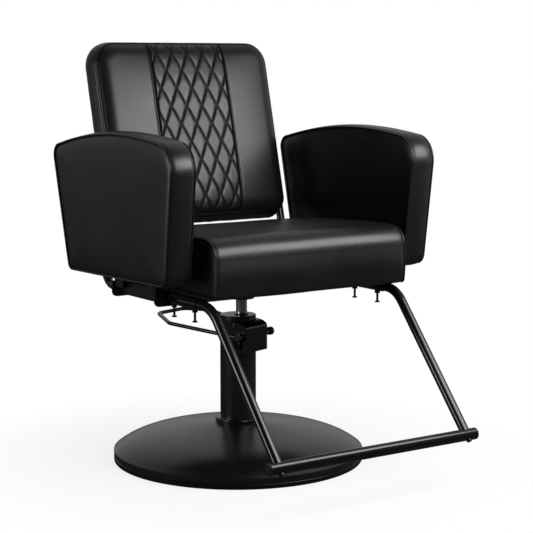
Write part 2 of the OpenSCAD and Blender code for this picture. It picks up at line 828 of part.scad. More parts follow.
module thumb_screw(side, y) {
    top = foot_z - foot_r - slack;
    color(black_gloss) translate([side * foot_x, -y, top - thumb_length]) {
        round_disc(thumb_head_r, thumb_head_t, wiper_edge);
        cylinder(r = thumb_r, h = thumb_length);
    }
}
module left_front_thumb_screw() thumb_screw(1, thumb_front);
module left_rear_thumb_screw() thumb_screw(1, thumb_rear);
module right_front_thumb_screw() thumb_screw(-1, thumb_front);
module right_rear_thumb_screw() thumb_screw(-1, thumb_rear);

// The tube's path runs in a plane across X: first value forwards, second up
foot_path = [[foot_stop, foot_z], [foot_corner, foot_z], [bar_front, bar_z]];
module footrest_tube() {
    color(black_gloss) translate([foot_x, 0, 0]) difference() {
        rotate([90, 0, -90]) bent_tube(foot_path, foot_bend, foot_r, foot_r - foot_wall);
        translate([-2 * bar_r, -bar_front, bar_z]) rotate([0, 90, 0]) cylinder(r = bar_r, h = 4 * bar_r);
    }
}
module left_footrest_tube() footrest_tube();
module right_footrest_tube() mirror([1, 0, 0]) footrest_tube();

// The screw's axis runs on along the tube, through the bar
module at_bar_screw(side) {
    translate([side * foot_x, -bar_front, bar_z]) rotate([90 + foot_slope, 0, 0]) children();
}

module footrest_bar() {
    color(black_gloss) difference() {
        translate([-bar_half, -bar_front, bar_z]) rotate([0, 90, 0]) tube(bar_r, bar_r - bar_wall, 2 * bar_half);
        for (side = [-1, 1]) at_bar_screw(side) cylinder(r = screw_r, h = 2 * bar_r);
    }
}

module footrest_bar_caps() {
    color(black_gloss) for (side = [-1, 1])
        translate([side * bar_half, -bar_front, bar_z]) rotate([0, side * 90, 0]) {
            translate([0, 0, -bar_cap_t]) cylinder(r = bar_r - bar_wall - run_gap, h = bar_cap_t);
            rotate_extrude() polygon(concat([[0, 0], [bar_r, 0]],
                arc([bar_r - cap_edge, bar_cap_t - cap_edge - cap_dome], cap_edge, 0, 90, 5), [[0, bar_cap_t]]));
        }
}

module footrest_bar_screws() {
    color(black_gloss) for (side = [-1, 1]) at_bar_screw(side)
        translate([0, 0, bar_r]) pan_screw(screw_r - run_gap, bar_wall + screw_grip, bar_screw_r, bar_screw_h);
}

// Seat
module seat_board() {
    color(plywood) translate([-seat_half + board_in, -seat_front + board_in, frame_top])
        cube([2 * (seat_half - board_in), seat_front + seat_rear - 2 * board_in, board_t]);
}

module seat_screws() {
    color(steel) for (side = [-1, 1], x = seat_screw_x)
        translate([x, side * (cross_y - flange_leg * half - cross_t * half), frame_top - leg_t])
            rotate([180, 0, 0]) pan_screw(screw_r - run_gap, leg_t + bolt_bite, screw_head_r, screw_head_h);
}

// Side view of the seat cushion, counter-clockwise from its lower rear corner
seat_low_corner = 10;
seat_rear_corner = 16;
seat_floor = frame_top + slack;
seat_low = frame_top - seat_lip;
seat_rear_top = seat_top - seat_drop;
hump_share = 1.5;
crown_shares = [0.2, 0.6, 1.6];
quarter_shares = [0.25, 0.5, 0.75];
top_shares = [for (i = [1:6]) i / 7];
seat_outline = concat(
    [for (p = arc([seat_rear - seat_low_corner, seat_floor + seat_low_corner], seat_low_corner, -90, 0, 2))
        [p.x, p.y, 0]],
    [for (p = arc([seat_rear - seat_rear_corner, seat_rear_top - seat_rear_corner], seat_rear_corner, 0, 90, 3))
        [p.x, p.y, seat_crown * crown_shares[0]]],
    [for (t = top_shares)
        let (y = seat_rear - seat_rear_corner - t * (seat_rear + seat_front - seat_rear_corner - seat_roll))
        [y, seat_rear_top + seat_drop * t * (1 + hump_share * (1 - t)),
         seat_crown * (crown_shares[1] + crown_shares[2] * t * (1 - t))]],
    [for (p = arc([-seat_front + seat_roll, seat_top - seat_roll], seat_roll, 90, 180, 6))
        [p.x, p.y, seat_crown * half]],
    [for (t = quarter_shares) [-seat_front - seat_front_bow * half * sin(180 * t),
        seat_top - seat_roll - t * (seat_top - seat_roll - seat_low - seat_low_corner), seat_front_bow]],
    [for (p = arc([-seat_front + seat_low_corner, seat_low + seat_low_corner], seat_low_corner, 180, 270, 2))
        [p.x, p.y, 0]],
    [for (t = quarter_shares) [-seat_front + t * (seat_front + seat_rear), seat_floor, 0]]);

module seat_cushion() {
    color(leather_black) difference() {
        padded_slab(seat_outline, seat_half, seat_edge, seat_side_bulge, 5);
        translate([-seat_half + board_in - slack, -seat_front + board_in - slack, frame_top - cut])
            cube([2 * (seat_half - board_in + slack), seat_front + seat_rear - 2 * (board_in - slack),
                board_t + slack + cut]);
    }
}

// Arms
arm_mid_z = (arm_bottom + arm_front_top) * half;
module arm_place() {
    translate([arm_inner + arm_t * half, 0, arm_mid_z]) rotate([0, arm_lean, 0])
        translate([0, 0, -arm_mid_z]) children();
}

arm_top_line = [-arm_front + front_corner, arm_rear - rear_corner];
arm_low_line = [-arm_low_front + low_front_corner, arm_low_rear - low_rear_corner];
arm_top_shares = [for (i = [1:8]) i / 9];
arm_outline = concat(
    [for (p = arc([arm_low_line[1], arm_rear_low + low_rear_corner], low_rear_corner, -85, -10, 4))
        [p.x, p.y, arm_box_bulge]],
    [for (p = arc([arm_rear - rear_corner, arm_rear_top - rear_corner], rear_corner, -10, 75, 5))
        [p.x, p.y, arm_box_bulge]],
    [for (t = arm_top_shares)
        [arm_top_line[1] + (arm_top_line[0] - arm_top_line[1]) * t,
         arm_rear_top + (arm_front_top - arm_rear_top) * t + 4 * arm_dome * t * (1 - t), arm_box_bulge]],
    [for (p = arc([-arm_front + front_corner, arm_front_top - front_corner], front_corner, 100, 184, 8))
        [p.x, p.y, arm_box_bulge]],
    [for (p = arc([arm_low_line[0], arm_bottom + low_front_corner], low_front_corner, 188, 266, 5))
        [p.x, p.y, arm_box_bulge]],
    [for (t = quarter_shares)
        [arm_low_line[0] + (arm_low_line[1] - arm_low_line[0]) * t,
         arm_bottom + (arm_rear_low - arm_bottom) * t, 0]]);

board_x = -arm_t * half + arm_board_in;
module arm_board_box(low, grow) {
    translate([board_x - grow, -arm_board_half - grow, low])
        cube([arm_board_t + 2 * grow, 2 * (arm_board_half + grow), arm_bottom + arm_board_h + grow - low]);
}
module arm_board() {
    color(plywood) arm_place() arm_board_box(arm_bottom, 0);
}
module arm_pad() {
    color(leather_black) arm_place() difference() {
        padded_slab(arm_outline, arm_t * half - arm_face_bulge, arm_edge, arm_face_bulge, 1);
        arm_board_box(arm_rear_low - cut, slack);
    }
}
module left_arm_board() arm_board();
module right_arm_board() mirror([1, 0, 0]) arm_board();
module left_arm_pad() arm_pad();
module right_arm_pad() mirror([1, 0, 0]) arm_pad();

bracket_low = cross_bottom + plate_corner * 2;
bracket_y = cross_y - cross_t - bracket_w;
// Where an arm bolt goes in, facing the seat
module at_arm_bolts() {
    for (side = [-1, 1], z = [arm_bolt_low, arm_bolt_high])
        translate([-arm_t * half - slack - bracket_t, side * (bracket_y + bracket_w * half), arm_bottom + z])
            rotate([0, -90, 0]) children();
}
module arm_bracket() {
    color(black_satin) arm_place() difference() {
        for (side = [-1, 1])
            translate([-arm_t * half - slack - bracket_t, side > 0 ? bracket_y : -bracket_y - bracket_w, bracket_low])
                cube([bracket_t, bracket_w, bracket_rise]);
        at_arm_bolts() translate([0, 0, -bracket_t - cut]) cylinder(r = screw_r, h = bracket_t + 2 * cut);
    }
}
module left_arm_bracket() arm_bracket();
module right_arm_bracket() mirror([1, 0, 0]) arm_bracket();

module arm_bolts() {
    shank = bracket_t + slack + arm_board_in + bolt_bite;
    color(steel) for (flip = [0, 1]) mirror([flip, 0, 0]) arm_place() at_arm_bolts()
        pan_screw(screw_r - run_gap, shank, screw_head_r, screw_head_h);
}

// Back: x across, y to the rear and z up along the slope, from the lower front edge
module at_back() {
    translate([0, back_y, back_z]) rotate([-recline, 0, 0]) children();
}

// Where the leaning upright crosses the level run under the seat
upright_foot = back_y + upright_depth * cos(recline)
    - (back_z - upright_depth * sin(recline) - upright_z) * tan(recline);
upright_path = [[cross_y, upright_z], [upright_foot, upright_z],
    [upright_foot + (back_z - upright_depth * sin(recline) + upright_top * cos(recline) - upright_z) * tan(recline),
     back_z - upright_depth * sin(recline) + upright_top * cos(recline)]];
module back_upright() {
    color(black_gloss) translate([upright_x, 0, 0]) rotate([90, 0, 90])
        bent_tube(upright_path, upright_bend, upright_r, upright_r - upright_wall);
}
module left_back_upright() back_upright();
module right_back_upright() mirror([1, 0, 0]) back_upright();

strap_y = back_pad_t + back_board_t;
module at_back_bolts() {
    for (side = [-1, 1], z = [strap_low, strap_high])
        translate([side * (upright_x + upright_r - strap_reach + strap_h * half), strap_y + strap_t, z])
            rotate([-90, 0, 0]) children();
}
module back_straps() {
    color(black_gloss) at_back() difference() {
        for (side = [-1, 1], z = [strap_low, strap_high])
            translate([side * (upright_x + upright_r) - (side > 0 ? strap_reach : 0), strap_y, z - strap_h * half])
                cube([strap_reach, strap_t, strap_h]);
        at_back_bolts() translate([0, 0, -strap_t - cut]) cylinder(r = screw_r, h = strap_t + 2 * cut);
    }
}

module back_bolts() {
    color(steel) at_back() at_back_bolts()
        pan_screw(screw_r - run_gap, strap_t + bolt_bite, screw_head_r, screw_head_h);
}

// The back's outline in x and z, counter-clockwise from the lower left, with its grid
function between(a, b, n) = [for (i = [1:n - 1]) a + (b - a) * i / n];
lattice_columns = [for (k = [-20:20]) if (abs(k * diamond_step) < quilt_half - seam_margin) k * diamond_step];
grid_half = back_half - back_edge;
grid_x = concat([-grid_half], between(-grid_half, -quilt_half, 3), [-quilt_half], lattice_columns,
    [quilt_half], between(quilt_half, grid_half, 3), [grid_half]);
grid_low = back_edge;
grid_high = back_length - back_edge;
row_step = diamond_half / 2;
first_row = back_length - first_diamond;
grid_z = concat([grid_low],
    [for (j = [30:-1:-1]) let (z = first_row - j * row_step) if (z > grid_low + row_margin && z < grid_high - row_margin) z],
    [grid_high]);
columns = len(grid_x) - 1;
rows = len(grid_z) - 1;

// Puff across one set of seams, from 0 on a seam to 1 midway
function puff(n) = let (r = (n % 4 + 4) % 4) 1 - pow(1 - (r > 2 ? 4 - r : r) / 2, 2);
function diamond(x, z) =
    let (k = x / diamond_step, j = (first_row - z) / row_step)
    abs(x) > quilt_half - seam_margin ? 0 : diamond_puff * puff(k + j) * puff(k - j);
// The outer corner squares are drawn round
function pull(p, q) = p * sqrt(max(0, 1 - q * q / 2));
corner_r = back_corner - back_edge;
function round_corner(x, z) =
    let (px = (abs(x) - (grid_half - corner_r)) / corner_r,
         pz = (abs(z - back_length * half) - (back_length * half - grid_low - corner_r)) / corner_r)
    (px <= 0 || pz <= 0) ? [x, z] :
    [sign(x) * (grid_half - corner_r + corner_r * pull(px, pz)),
     back_length * half + sign(z - back_length * half)
        * (back_length * half - grid_low - corner_r + corner_r * pull(pz, px))];
function swell(x, z) =
    let (a = x / grid_half, b = (z - back_length * half) / (back_length * half - grid_low))
    back_crown * (1 - pow(a, 4)) * (1 - pow(b, 6));
function seam_dip(x) = abs(abs(x) - quilt_half) < seam_margin * half ? seam_sink : 0;

grid_points = [for (j = [0:rows], i = [0:columns])
    let (x = grid_x[i], z = grid_z[j], edge = i == 0 || j == 0 || i == columns || j == rows,
         p = round_corner(x, z))
    [p.x, edge ? 0 : -swell(x, z) - diamond(x, z) + seam_dip(x), p.y]];
function grid_at(i, j) = j * (columns + 1) + i;
grid_faces = [for (j = [0:rows - 1], i = [0:columns - 1])
    let (a = grid_at(i, j), b = grid_at(i + 1, j), c = grid_at(i + 1, j + 1), d = grid_at(i, j + 1),
         k = round(grid_x[i] / diamond_step) + round((first_row - grid_z[j]) / row_step))
    each (k % 2 == 0 ? [[a, b, c], [a, c, d]] : [[a, b, d], [b, c, d]])];
rim = concat(
    [for (i = [0:columns - 1]) grid_at(i, 0)], [for (j = [0:rows - 1]) grid_at(columns, j)],
    [for (i = [columns:-1:1]) grid_at(i, rows)], [for (j = [rows:-1:1]) grid_at(0, j)]);
rim_flat = [for (n = rim) [grid_points[n].x, grid_points[n].z]];
rim_count = len(rim);
function border_swell(n) = let (o = outward(rim_flat, n))
    back_side_bulge + (back_low_bulge - back_side_bulge) * max(0, -o.y);
// each ring is [depth, growth beyond the grid's rim, share of the border's swell]
rim_shares = [0.3, 0.7];
depth_shares = [0.35, 0.7];
swell_share = 0.85;
back_rings = [[back_edge * rim_shares[0], back_edge * rim_shares[1], 0], [back_edge, back_edge, 0],
    [back_pad_t * depth_shares[0], back_edge, swell_share],
    [back_pad_t * depth_shares[1], back_edge, swell_share], [back_pad_t, back_edge, 0]];
back_ring_points = [for (r = back_rings, n = [0:rim_count - 1])
    let (p = rim_flat[n] + outward(rim_flat, n) * (r[1] + border_swell(n) * r[2])) [p.x, r[0], p.y]];

module back_pad() {
    first = len(grid_points);
    last = first + (len(back_rings) - 1) * rim_count;
    tip = first + len(back_rings) * rim_count;
    points = concat(grid_points, back_ring_points, [[0, back_pad_t, back_length * half]]);
    rim_faces = [for (n = [0:rim_count - 1])
        let (m = (n + 1) % rim_count, a = rim[n], b = rim[m], c = first + n, d = first + m)
        each [[a, b, d], [a, d, c]]];
    faces = concat([for (f = grid_faces) [f[0], f[2], f[1]]],
        rim_faces,
        [for (k = [0:len(back_rings) - 2]) each band_faces(rim_count, first + k * rim_count)],
        fan_faces(rim_count, last, tip));
    color(leather_black) at_back() polyhedron(points = points, faces = faces);
}

module back_board() {
    color(leather_black) at_back() translate([0, back_pad_t + back_board_t, 0]) rotate([90, 0, 0])
        linear_extrude(height = back_board_t - slack)
            polygon(concat(
                arc([-back_half + back_corner, back_corner], back_corner, 180, 270, 10),
                arc([back_half - back_corner, back_corner], back_corner, 270, 360, 10),
                arc([back_half - back_corner, back_length - back_corner], back_corner, 0, 90, 10),
                arc([-back_half + back_corner, back_length - back_corner], back_corner, 90, 180, 10)));
}

base_plate();
base_band();
base_cover();
pump_flange();
flange_bolts();
column_tube();
column_collar();
pump_head();
oil_cylinder();
pump_cap();
ram_bush();
pump_shroud();
shroud_screws();
shaft_bushes();
crank_shaft();
crank_finger();
pedal_hubs();
pedal_loop();
pump_plunger();
ram_rod();
ram_piston();
ram_seal();
seat_hub();
swivel_washer();
mount_plate();
front_cross_plate();
rear_cross_plate();
left_side_rail();
right_side_rail();
left_footrest_sleeve();
right_footrest_sleeve();
clamp_nuts();
left_front_thumb_screw();
left_rear_thumb_screw();
right_front_thumb_screw();
right_rear_thumb_screw();
left_footrest_tube();
right_footrest_tube();
footrest_bar();
footrest_bar_caps();
footrest_bar_screws();
seat_board();
seat_screws();
seat_cushion();
left_arm_bracket();
right_arm_bracket();
arm_bolts();
left_arm_board();
right_arm_board();
left_arm_pad();
right_arm_pad();
left_back_upright();
right_back_upright();
back_straps();
back_bolts();
back_board();
back_pad();
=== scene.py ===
import math

import bmesh
import bpy
from mathutils import Matrix, Vector, noise


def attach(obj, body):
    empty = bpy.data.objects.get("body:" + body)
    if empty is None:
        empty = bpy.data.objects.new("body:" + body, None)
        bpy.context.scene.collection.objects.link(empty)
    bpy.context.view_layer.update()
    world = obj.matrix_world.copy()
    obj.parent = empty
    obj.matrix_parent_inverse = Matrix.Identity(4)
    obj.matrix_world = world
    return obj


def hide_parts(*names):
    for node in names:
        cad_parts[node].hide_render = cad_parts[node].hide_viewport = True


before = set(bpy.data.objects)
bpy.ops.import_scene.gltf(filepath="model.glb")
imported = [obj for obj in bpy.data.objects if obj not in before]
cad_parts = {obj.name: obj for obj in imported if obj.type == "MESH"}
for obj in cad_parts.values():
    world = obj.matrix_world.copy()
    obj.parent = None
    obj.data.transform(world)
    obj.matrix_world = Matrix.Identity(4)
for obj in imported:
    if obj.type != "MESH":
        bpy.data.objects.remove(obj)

for startName in ("Cube", "Light", "Camera"):  # what a new Blender file brings along
    if startName in bpy.data.objects:
        bpy.data.objects.remove(bpy.data.objects[startName])
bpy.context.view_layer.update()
scene = bpy.context.scene
scene.view_settings.view_transform = "Standard"
mm = 0.001

# Camera, lights and world
cameraSet = {"place": (-2.0237, -3.0731, 0.9551), "pitch": 82.4, "turn": -34.3, "lens": 104.98, "sensor": 36}
cameraData = bpy.data.cameras.new("camera")
cameraData.lens = cameraSet["lens"]
cameraData.sensor_width = cameraSet["sensor"]
camera = bpy.data.objects.new("camera", cameraData)
camera.location = cameraSet["place"]
camera.rotation_euler = (math.radians(cameraSet["pitch"]), 0, math.radians(cameraSet["turn"]))
scene.collection.objects.link(camera)
scene.camera = camera

lampSets = [  # size is across and up, as seen from the chair
    {"name": "softBox", "place": (0.46, -1.06, 1.21), "size": (1.4, 0.64), "power": 20, "aim": (0, 0, 0.6)},
    {"name": "leftStrip", "place": (-2.3, 0.3, 0.85), "size": (1.0, 0.8), "power": 17, "aim": (0, -0.1, 0.4)},
    {"name": "fill", "place": (1.2, -3.6, 3.2), "size": (3.0, 2.0), "power": 7, "aim": (0, 0, 0.5)},
    {"name": "above", "place": (0.4, 0.6, 3.4), "size": (2.6, 2.6), "power": 6, "aim": (0, 0, 0.5)},
    {"name": "rearCard", "place": (-2.0, 2.6, 0.7), "size": (2.0, 1.6), "power": 0.7, "aim": (0, 0, 0.6)},
    {"name": "rightCard", "place": (2.5, -1.2, 0.45), "size": (1.6, 1.0), "power": 2.0, "aim": (0, 0, 0.4)},
]
for lampSet in lampSets:
    lampData = bpy.data.lights.new(lampSet["name"], "AREA")
    lampData.shape = "RECTANGLE"
    lampData.size, lampData.size_y = lampSet["size"]
    lampData.energy = lampSet["power"]
    lamp = bpy.data.objects.new(lampSet["name"], lampData)
    lamp.location = lampSet["place"]
    lamp.rotation_euler = (Vector(lampSet["aim"]) - lamp.location).to_track_quat("-Z", "Y").to_euler()
    lamp.visible_camera = False
    scene.collection.objects.link(lamp)

# The camera sees white all round. Shiny surfaces see a bright sweep behind the chair and a dim room in front
worldSet = {"light": 0.28, "sweep": 0.5, "room": 0.03, "behind": (0.66, 0.74, -0.15), "fadeFrom": -0.4, "fadeTo": 0.9}
world = bpy.data.worlds.new("studio")
scene.world = world
world.use_nodes = True
worldTree = world.node_tree
worldTree.nodes.clear()
worldNodes = {key: worldTree.nodes.new(kind) for key, kind in {
    "out": "ShaderNodeOutputWorld", "path": "ShaderNodeLightPath", "light": "ShaderNodeBackground",
    "mirror": "ShaderNodeBackground", "seen": "ShaderNodeBackground", "either": "ShaderNodeMath",
    "place": "ShaderNodeTexCoord", "facing": "ShaderNodeVectorMath", "fade": "ShaderNodeMapRange",
    "first": "ShaderNodeMixShader", "last": "ShaderNodeMixShader"}.items()}
for key in ("light", "mirror", "seen"):
    worldNodes[key].inputs["Color"].default_value = (1, 1, 1, 1)
worldNodes["light"].inputs["Strength"].default_value = worldSet["light"]
worldNodes["either"].operation = "MAXIMUM"
worldNodes["facing"].operation = "DOT_PRODUCT"
worldNodes["facing"].inputs[1].default_value = worldSet["behind"]
for socket, key in (("From Min", "fadeFrom"), ("From Max", "fadeTo"), ("To Min", "room"), ("To Max", "sweep")):
    worldNodes["fade"].inputs[socket].default_value = worldSet[key]
for source, output, target, slot in (
        ("path", "Is Glossy Ray", "either", 0), ("path", "Is Transmission Ray", "either", 1),
        ("place", "Generated", "facing", 0), ("facing", "Value", "fade", "Value"),
        ("fade", "Result", "mirror", "Strength"), ("either", 0, "first", 0), ("light", 0, "first", 1),
        ("mirror", 0, "first", 2), ("path", "Is Camera Ray", "last", 0), ("first", 0, "last", 1),
        ("seen", 0, "last", 2), ("last", 0, "out", "Surface")):
    worldTree.links.new(worldNodes[source].outputs[output], worldNodes[target].inputs[slot])
print("camera, lamps and world are set")


# Shared shader groups
def newGroup(name, inputs, outputs):
    group = bpy.data.node_groups.new(name, "ShaderNodeTree")
    for label, kind, value in inputs:
        socket = group.interface.new_socket(label, in_out="INPUT", socket_type=kind)
        if value is not None:
            socket.default_value = value
    for label, kind in outputs:
        group.interface.new_socket(label, in_out="OUTPUT", socket_type=kind)
    return group, group.nodes.new("NodeGroupInput"), group.nodes.new("NodeGroupOutput")


def addNode(tree, kind, settings=None, values=None):
    made = tree.nodes.new(kind)
    for key, value in (settings or {}).items():
        setattr(made, key, value)
    for key, value in (values or {}).items():
        made.inputs[key].default_value = value
    return made


def mathNode(tree, operation, first, second):
    made = addNode(tree, "ShaderNodeMath", {"operation": operation})
    for slot, value in enumerate((first, second)):
        if isinstance(value, (int, float)):
            made.inputs[slot].default_value = value
        else:
            tree.links.new(value, made.inputs[slot])
    return made.outputs[0]


def rampNode(tree, source, low, high, lowOut=0.0, highOut=1.0):
    made = addNode(tree, "ShaderNodeMapRange", None,
                   {"From Min": low, "From Max": high, "To Min": lowOut, "To Max": highOut})
    tree.links.new(source, made.inputs["Value"])
    return made.outputs["Result"]


def noiseNode(tree, vector, scale, detail=3.0, roughness=0.5, distortion=0.0):
    made = addNode(tree, "ShaderNodeTexNoise", None,
                   {"Scale": scale, "Detail": detail, "Roughness": roughness, "Distortion": distortion})
    tree.links.new(vector, made.inputs["Vector"])
    return made.outputs["Fac"]


# Leather: pebbles of grain, fine creases between them and slow changes of sheen
leatherGrain, grainIn, grainOut = newGroup(
    "leatherGrain", [("Vector", "NodeSocketVector", None), ("Pebbles", "NodeSocketFloat", 700.0)],
    [("Height", "NodeSocketFloat"), ("Valley", "NodeSocketFloat"), ("Patch", "NodeSocketFloat")])
pebble = addNode(leatherGrain, "ShaderNodeTexVoronoi", {"feature": "DISTANCE_TO_EDGE"}, {"Randomness": 0.9})
bend = addNode(leatherGrain, "ShaderNodeTexNoise", None, {"Scale": 160.0, "Detail": 2.0})
bendMix = addNode(leatherGrain, "ShaderNodeVectorMath", {"operation": "MULTIPLY_ADD"},
                  {1: (0.0016, 0.0016, 0.0016)})
leatherGrain.links.new(grainIn.outputs["Vector"], bend.inputs["Vector"])
leatherGrain.links.new(bend.outputs["Color"], bendMix.inputs[0])
leatherGrain.links.new(grainIn.outputs["Vector"], bendMix.inputs[2])
leatherGrain.links.new(bendMix.outputs[0], pebble.inputs["Vector"])
leatherGrain.links.new(grainIn.outputs["Pebbles"], pebble.inputs["Scale"])
pebbleTop = rampNode(leatherGrain, pebble.outputs["Distance"], 0.02, 0.22)
finePore = noiseNode(leatherGrain, grainIn.outputs["Vector"], 1500.0, 2.0)
slowRise = noiseNode(leatherGrain, grainIn.outputs["Vector"], 34.0, 3.0, 0.55)
patch = noiseNode(leatherGrain, grainIn.outputs["Vector"], 7.0, 4.0, 0.6, 0.4)
grainSum = mathNode(leatherGrain, "ADD", mathNode(leatherGrain, "MULTIPLY", pebbleTop, 0.55),
                    mathNode(leatherGrain, "ADD", mathNode(leatherGrain, "MULTIPLY", finePore, 0.25),
                             mathNode(leatherGrain, "MULTIPLY", slowRise, 2.2)))
leatherGrain.links.new(grainSum, grainOut.inputs["Height"])
leatherGrain.links.new(mathNode(leatherGrain, "SUBTRACT", 1.0, pebbleTop), grainOut.inputs["Valley"])
leatherGrain.links.new(rampNode(leatherGrain, patch, 0.3, 0.7), grainOut.inputs["Patch"])

# Paint and moulded plastic: orange peel, thin dust and a few rubbed places
paintSkin, paintIn, paintOut = newGroup(
    "paintSkin", [("Vector", "NodeSocketVector", None), ("Peel", "NodeSocketFloat", 420.0)],
    [("Height", "NodeSocketFloat"), ("Dust", "NodeSocketFloat"), ("Rub", "NodeSocketFloat")])
peelNode = addNode(paintSkin, "ShaderNodeTexNoise", None, {"Detail": 2.0, "Roughness": 0.45})
paintSkin.links.new(paintIn.outputs["Vector"], peelNode.inputs["Vector"])
paintSkin.links.new(paintIn.outputs["Peel"], peelNode.inputs["Scale"])
paintSkin.links.new(peelNode.outputs["Fac"], paintOut.inputs["Height"])
dustCloud = noiseNode(paintSkin, paintIn.outputs["Vector"], 11.0, 5.0, 0.65)
dustSpeck = noiseNode(paintSkin, paintIn.outputs["Vector"], 900.0, 2.0)
paintSkin.links.new(mathNode(paintSkin, "MULTIPLY", rampNode(paintSkin, dustCloud, 0.42, 0.75),
                             rampNode(paintSkin, dustSpeck, 0.45, 0.7)), paintOut.inputs["Dust"])
paintSkin.links.new(rampNode(paintSkin, noiseNode(paintSkin, paintIn.outputs["Vector"], 26.0, 6.0, 0.7),
                             0.5, 0.72), paintOut.inputs["Rub"])

# Machined metal: long fine tool lines along the direction that the vector is squeezed in
toolLines, toolIn, toolOut = newGroup(
    "toolLines", [("Vector", "NodeSocketVector", None)],
    [("Height", "NodeSocketFloat"), ("Streak", "NodeSocketFloat"), ("Stain", "NodeSocketFloat")])
lineNoise = noiseNode(toolLines, toolIn.outputs["Vector"], 900.0, 3.0, 0.6)
toolLines.links.new(lineNoise, toolOut.inputs["Height"])
toolLines.links.new(rampNode(toolLines, lineNoise, 0.35, 0.65), toolOut.inputs["Streak"])
toolLines.links.new(rampNode(toolLines, noiseNode(toolLines, toolIn.outputs["Vector"], 14.0, 5.0, 0.6),
                             0.45, 0.7), toolOut.inputs["Stain"])


def newMaterial(name, base, roughness, metallic=0.0, specular=0.5):
    material = bpy.data.materials.new(name)
    material.use_nodes = True
    material.diffuse_color = (*base, 1)
    shader = material.node_tree.nodes["Principled BSDF"]
    shader.inputs["Base Color"].default_value = (*base, 1)
    shader.inputs["Roughness"].default_value = roughness
    shader.inputs["Metallic"].default_value = metallic
    shader.inputs["Specular IOR Level"].default_value = specular
    return material, material.node_tree, shader


def objectVector(tree, squeeze=None):
    place = addNode(tree, "ShaderNodeTexCoord").outputs["Object"]
    if squeeze is None:
        return place
    mapped = addNode(tree, "ShaderNodeMapping", None, {"Scale": squeeze})
    tree.links.new(place, mapped.inputs["Vector"])
    return mapped.outputs["Vector"]


def placeGroup(tree, group, vector, values=None):
    made = addNode(tree, "ShaderNodeGroup", {"node_tree": group}, values)
    tree.links.new(vector, made.inputs["Vector"])
    return made


def colourBetween(tree, fac, first, second):
    made = addNode(tree, "ShaderNodeMix", {"data_type": "RGBA"}, {6: (*first, 1), 7: (*second, 1)})
    tree.links.new(fac, made.inputs["Factor"])
    return made.outputs[2]


def bumpInto(tree, shader, height, strength, distance):
    made = addNode(tree, "ShaderNodeBump", None, {"Strength": strength, "Distance": distance})
    tree.links.new(height, made.inputs["Height"])
    tree.links.new(made.outputs["Normal"], shader.inputs["Normal"])


def leatherMaterial(name, base, worn, roughness, pebbles, depth):
    material, tree, shader = newMaterial(name, base, roughness)
    grain = placeGroup(tree, leatherGrain, objectVector(tree), {"Pebbles": pebbles})
    tree.links.new(colourBetween(tree, mathNode(tree, "MULTIPLY", grain.outputs["Patch"], 0.5), base, worn),
                   shader.inputs["Base Color"])
    rough = mathNode(tree, "ADD", rampNode(tree, grain.outputs["Patch"], 0, 1, roughness - 0.03, roughness + 0.04),
                     mathNode(tree, "MULTIPLY", grain.outputs["Valley"], 0.10))
    # painted shade: where the groove mask is high, in the bottoms of the sewn grooves, the leather is rougher and
    # hardly shines
    groove = addNode(tree, "ShaderNodeAttribute", {"attribute_name": "groove"}).outputs["Fac"]
    tree.links.new(mathNode(tree, "ADD", rough, mathNode(tree, "MULTIPLY", groove, 0.25)), shader.inputs["Roughness"])
    tree.links.new(rampNode(tree, groove, 0, 0.8, 0.5, 0.02), shader.inputs["Specular IOR Level"])
    bumpInto(tree, shader, grain.outputs["Height"], 0.35, depth)
    return material


def paintMaterial(name, base, dusty, roughness, peel, depth, specular=0.5):
    material, tree, shader = newMaterial(name, base, roughness, specular=specular)
    skin = placeGroup(tree, paintSkin, objectVector(tree), {"Peel": peel})
    tree.links.new(colourBetween(tree, mathNode(tree, "MULTIPLY", skin.outputs["Dust"], 0.2), base, dusty),
                   shader.inputs["Base Color"])
    rough = mathNode(tree, "ADD", rampNode(tree, skin.outputs["Rub"], 0, 1, roughness, roughness + 0.07),
                     mathNode(tree, "MULTIPLY", skin.outputs["Dust"], 0.05))
    tree.links.new(rough, shader.inputs["Roughness"])
    bumpInto(tree, shader, skin.outputs["Height"], 0.4, depth)
    return material


def metalMaterial(name, base, stained, roughness, squeeze, depth):
    material, tree, shader = newMaterial(name, base, roughness, metallic=1.0)
    lines = placeGroup(tree, toolLines, objectVector(tree, squeeze))
    tree.links.new(colourBetween(tree, mathNode(tree, "MULTIPLY", lines.outputs["Stain"], 0.5), base, stained),
                   shader.inputs["Base Color"])
    tree.links.new(rampNode(tree, lines.outputs["Streak"], 0, 1, roughness - 0.05, roughness + 0.08),
                   shader.inputs["Roughness"])
    bumpInto(tree, shader, lines.outputs["Height"], 0.25, depth)
    return material


def plywoodMaterial():
    material, tree, shader = newMaterial("birchPly", (0.5, 0.35, 0.2), 0.6)
    place = objectVector(tree, (3.0, 26.0, 90.0))
    rings = addNode(tree, "ShaderNodeTexWave", {"wave_type": "BANDS", "bands_direction": "Z"},
                    {"Scale": 1.2, "Distortion": 6.0, "Detail": 3.0})
    tree.links.new(place, rings.inputs["Vector"])
    tree.links.new(colourBetween(tree, rings.outputs["Fac"], (0.52, 0.37, 0.21), (0.36, 0.23, 0.12)),
                   shader.inputs["Base Color"])
    bumpInto(tree, shader, rings.outputs["Fac"], 0.3, 0.2 * mm)
    return material


# leather: name, colour, worn colour, roughness, pebbles to a metre, their depth
leather = leatherMaterial("blackLeather", (0.005, 0.005, 0.0055), (0.008, 0.008, 0.0085), 0.29, 720.0, 0.06 * mm)
cordLeather = leatherMaterial("pipingLeather", (0.005, 0.005, 0.0055), (0.012, 0.012, 0.0125), 0.30, 980.0, 0.04 * mm)
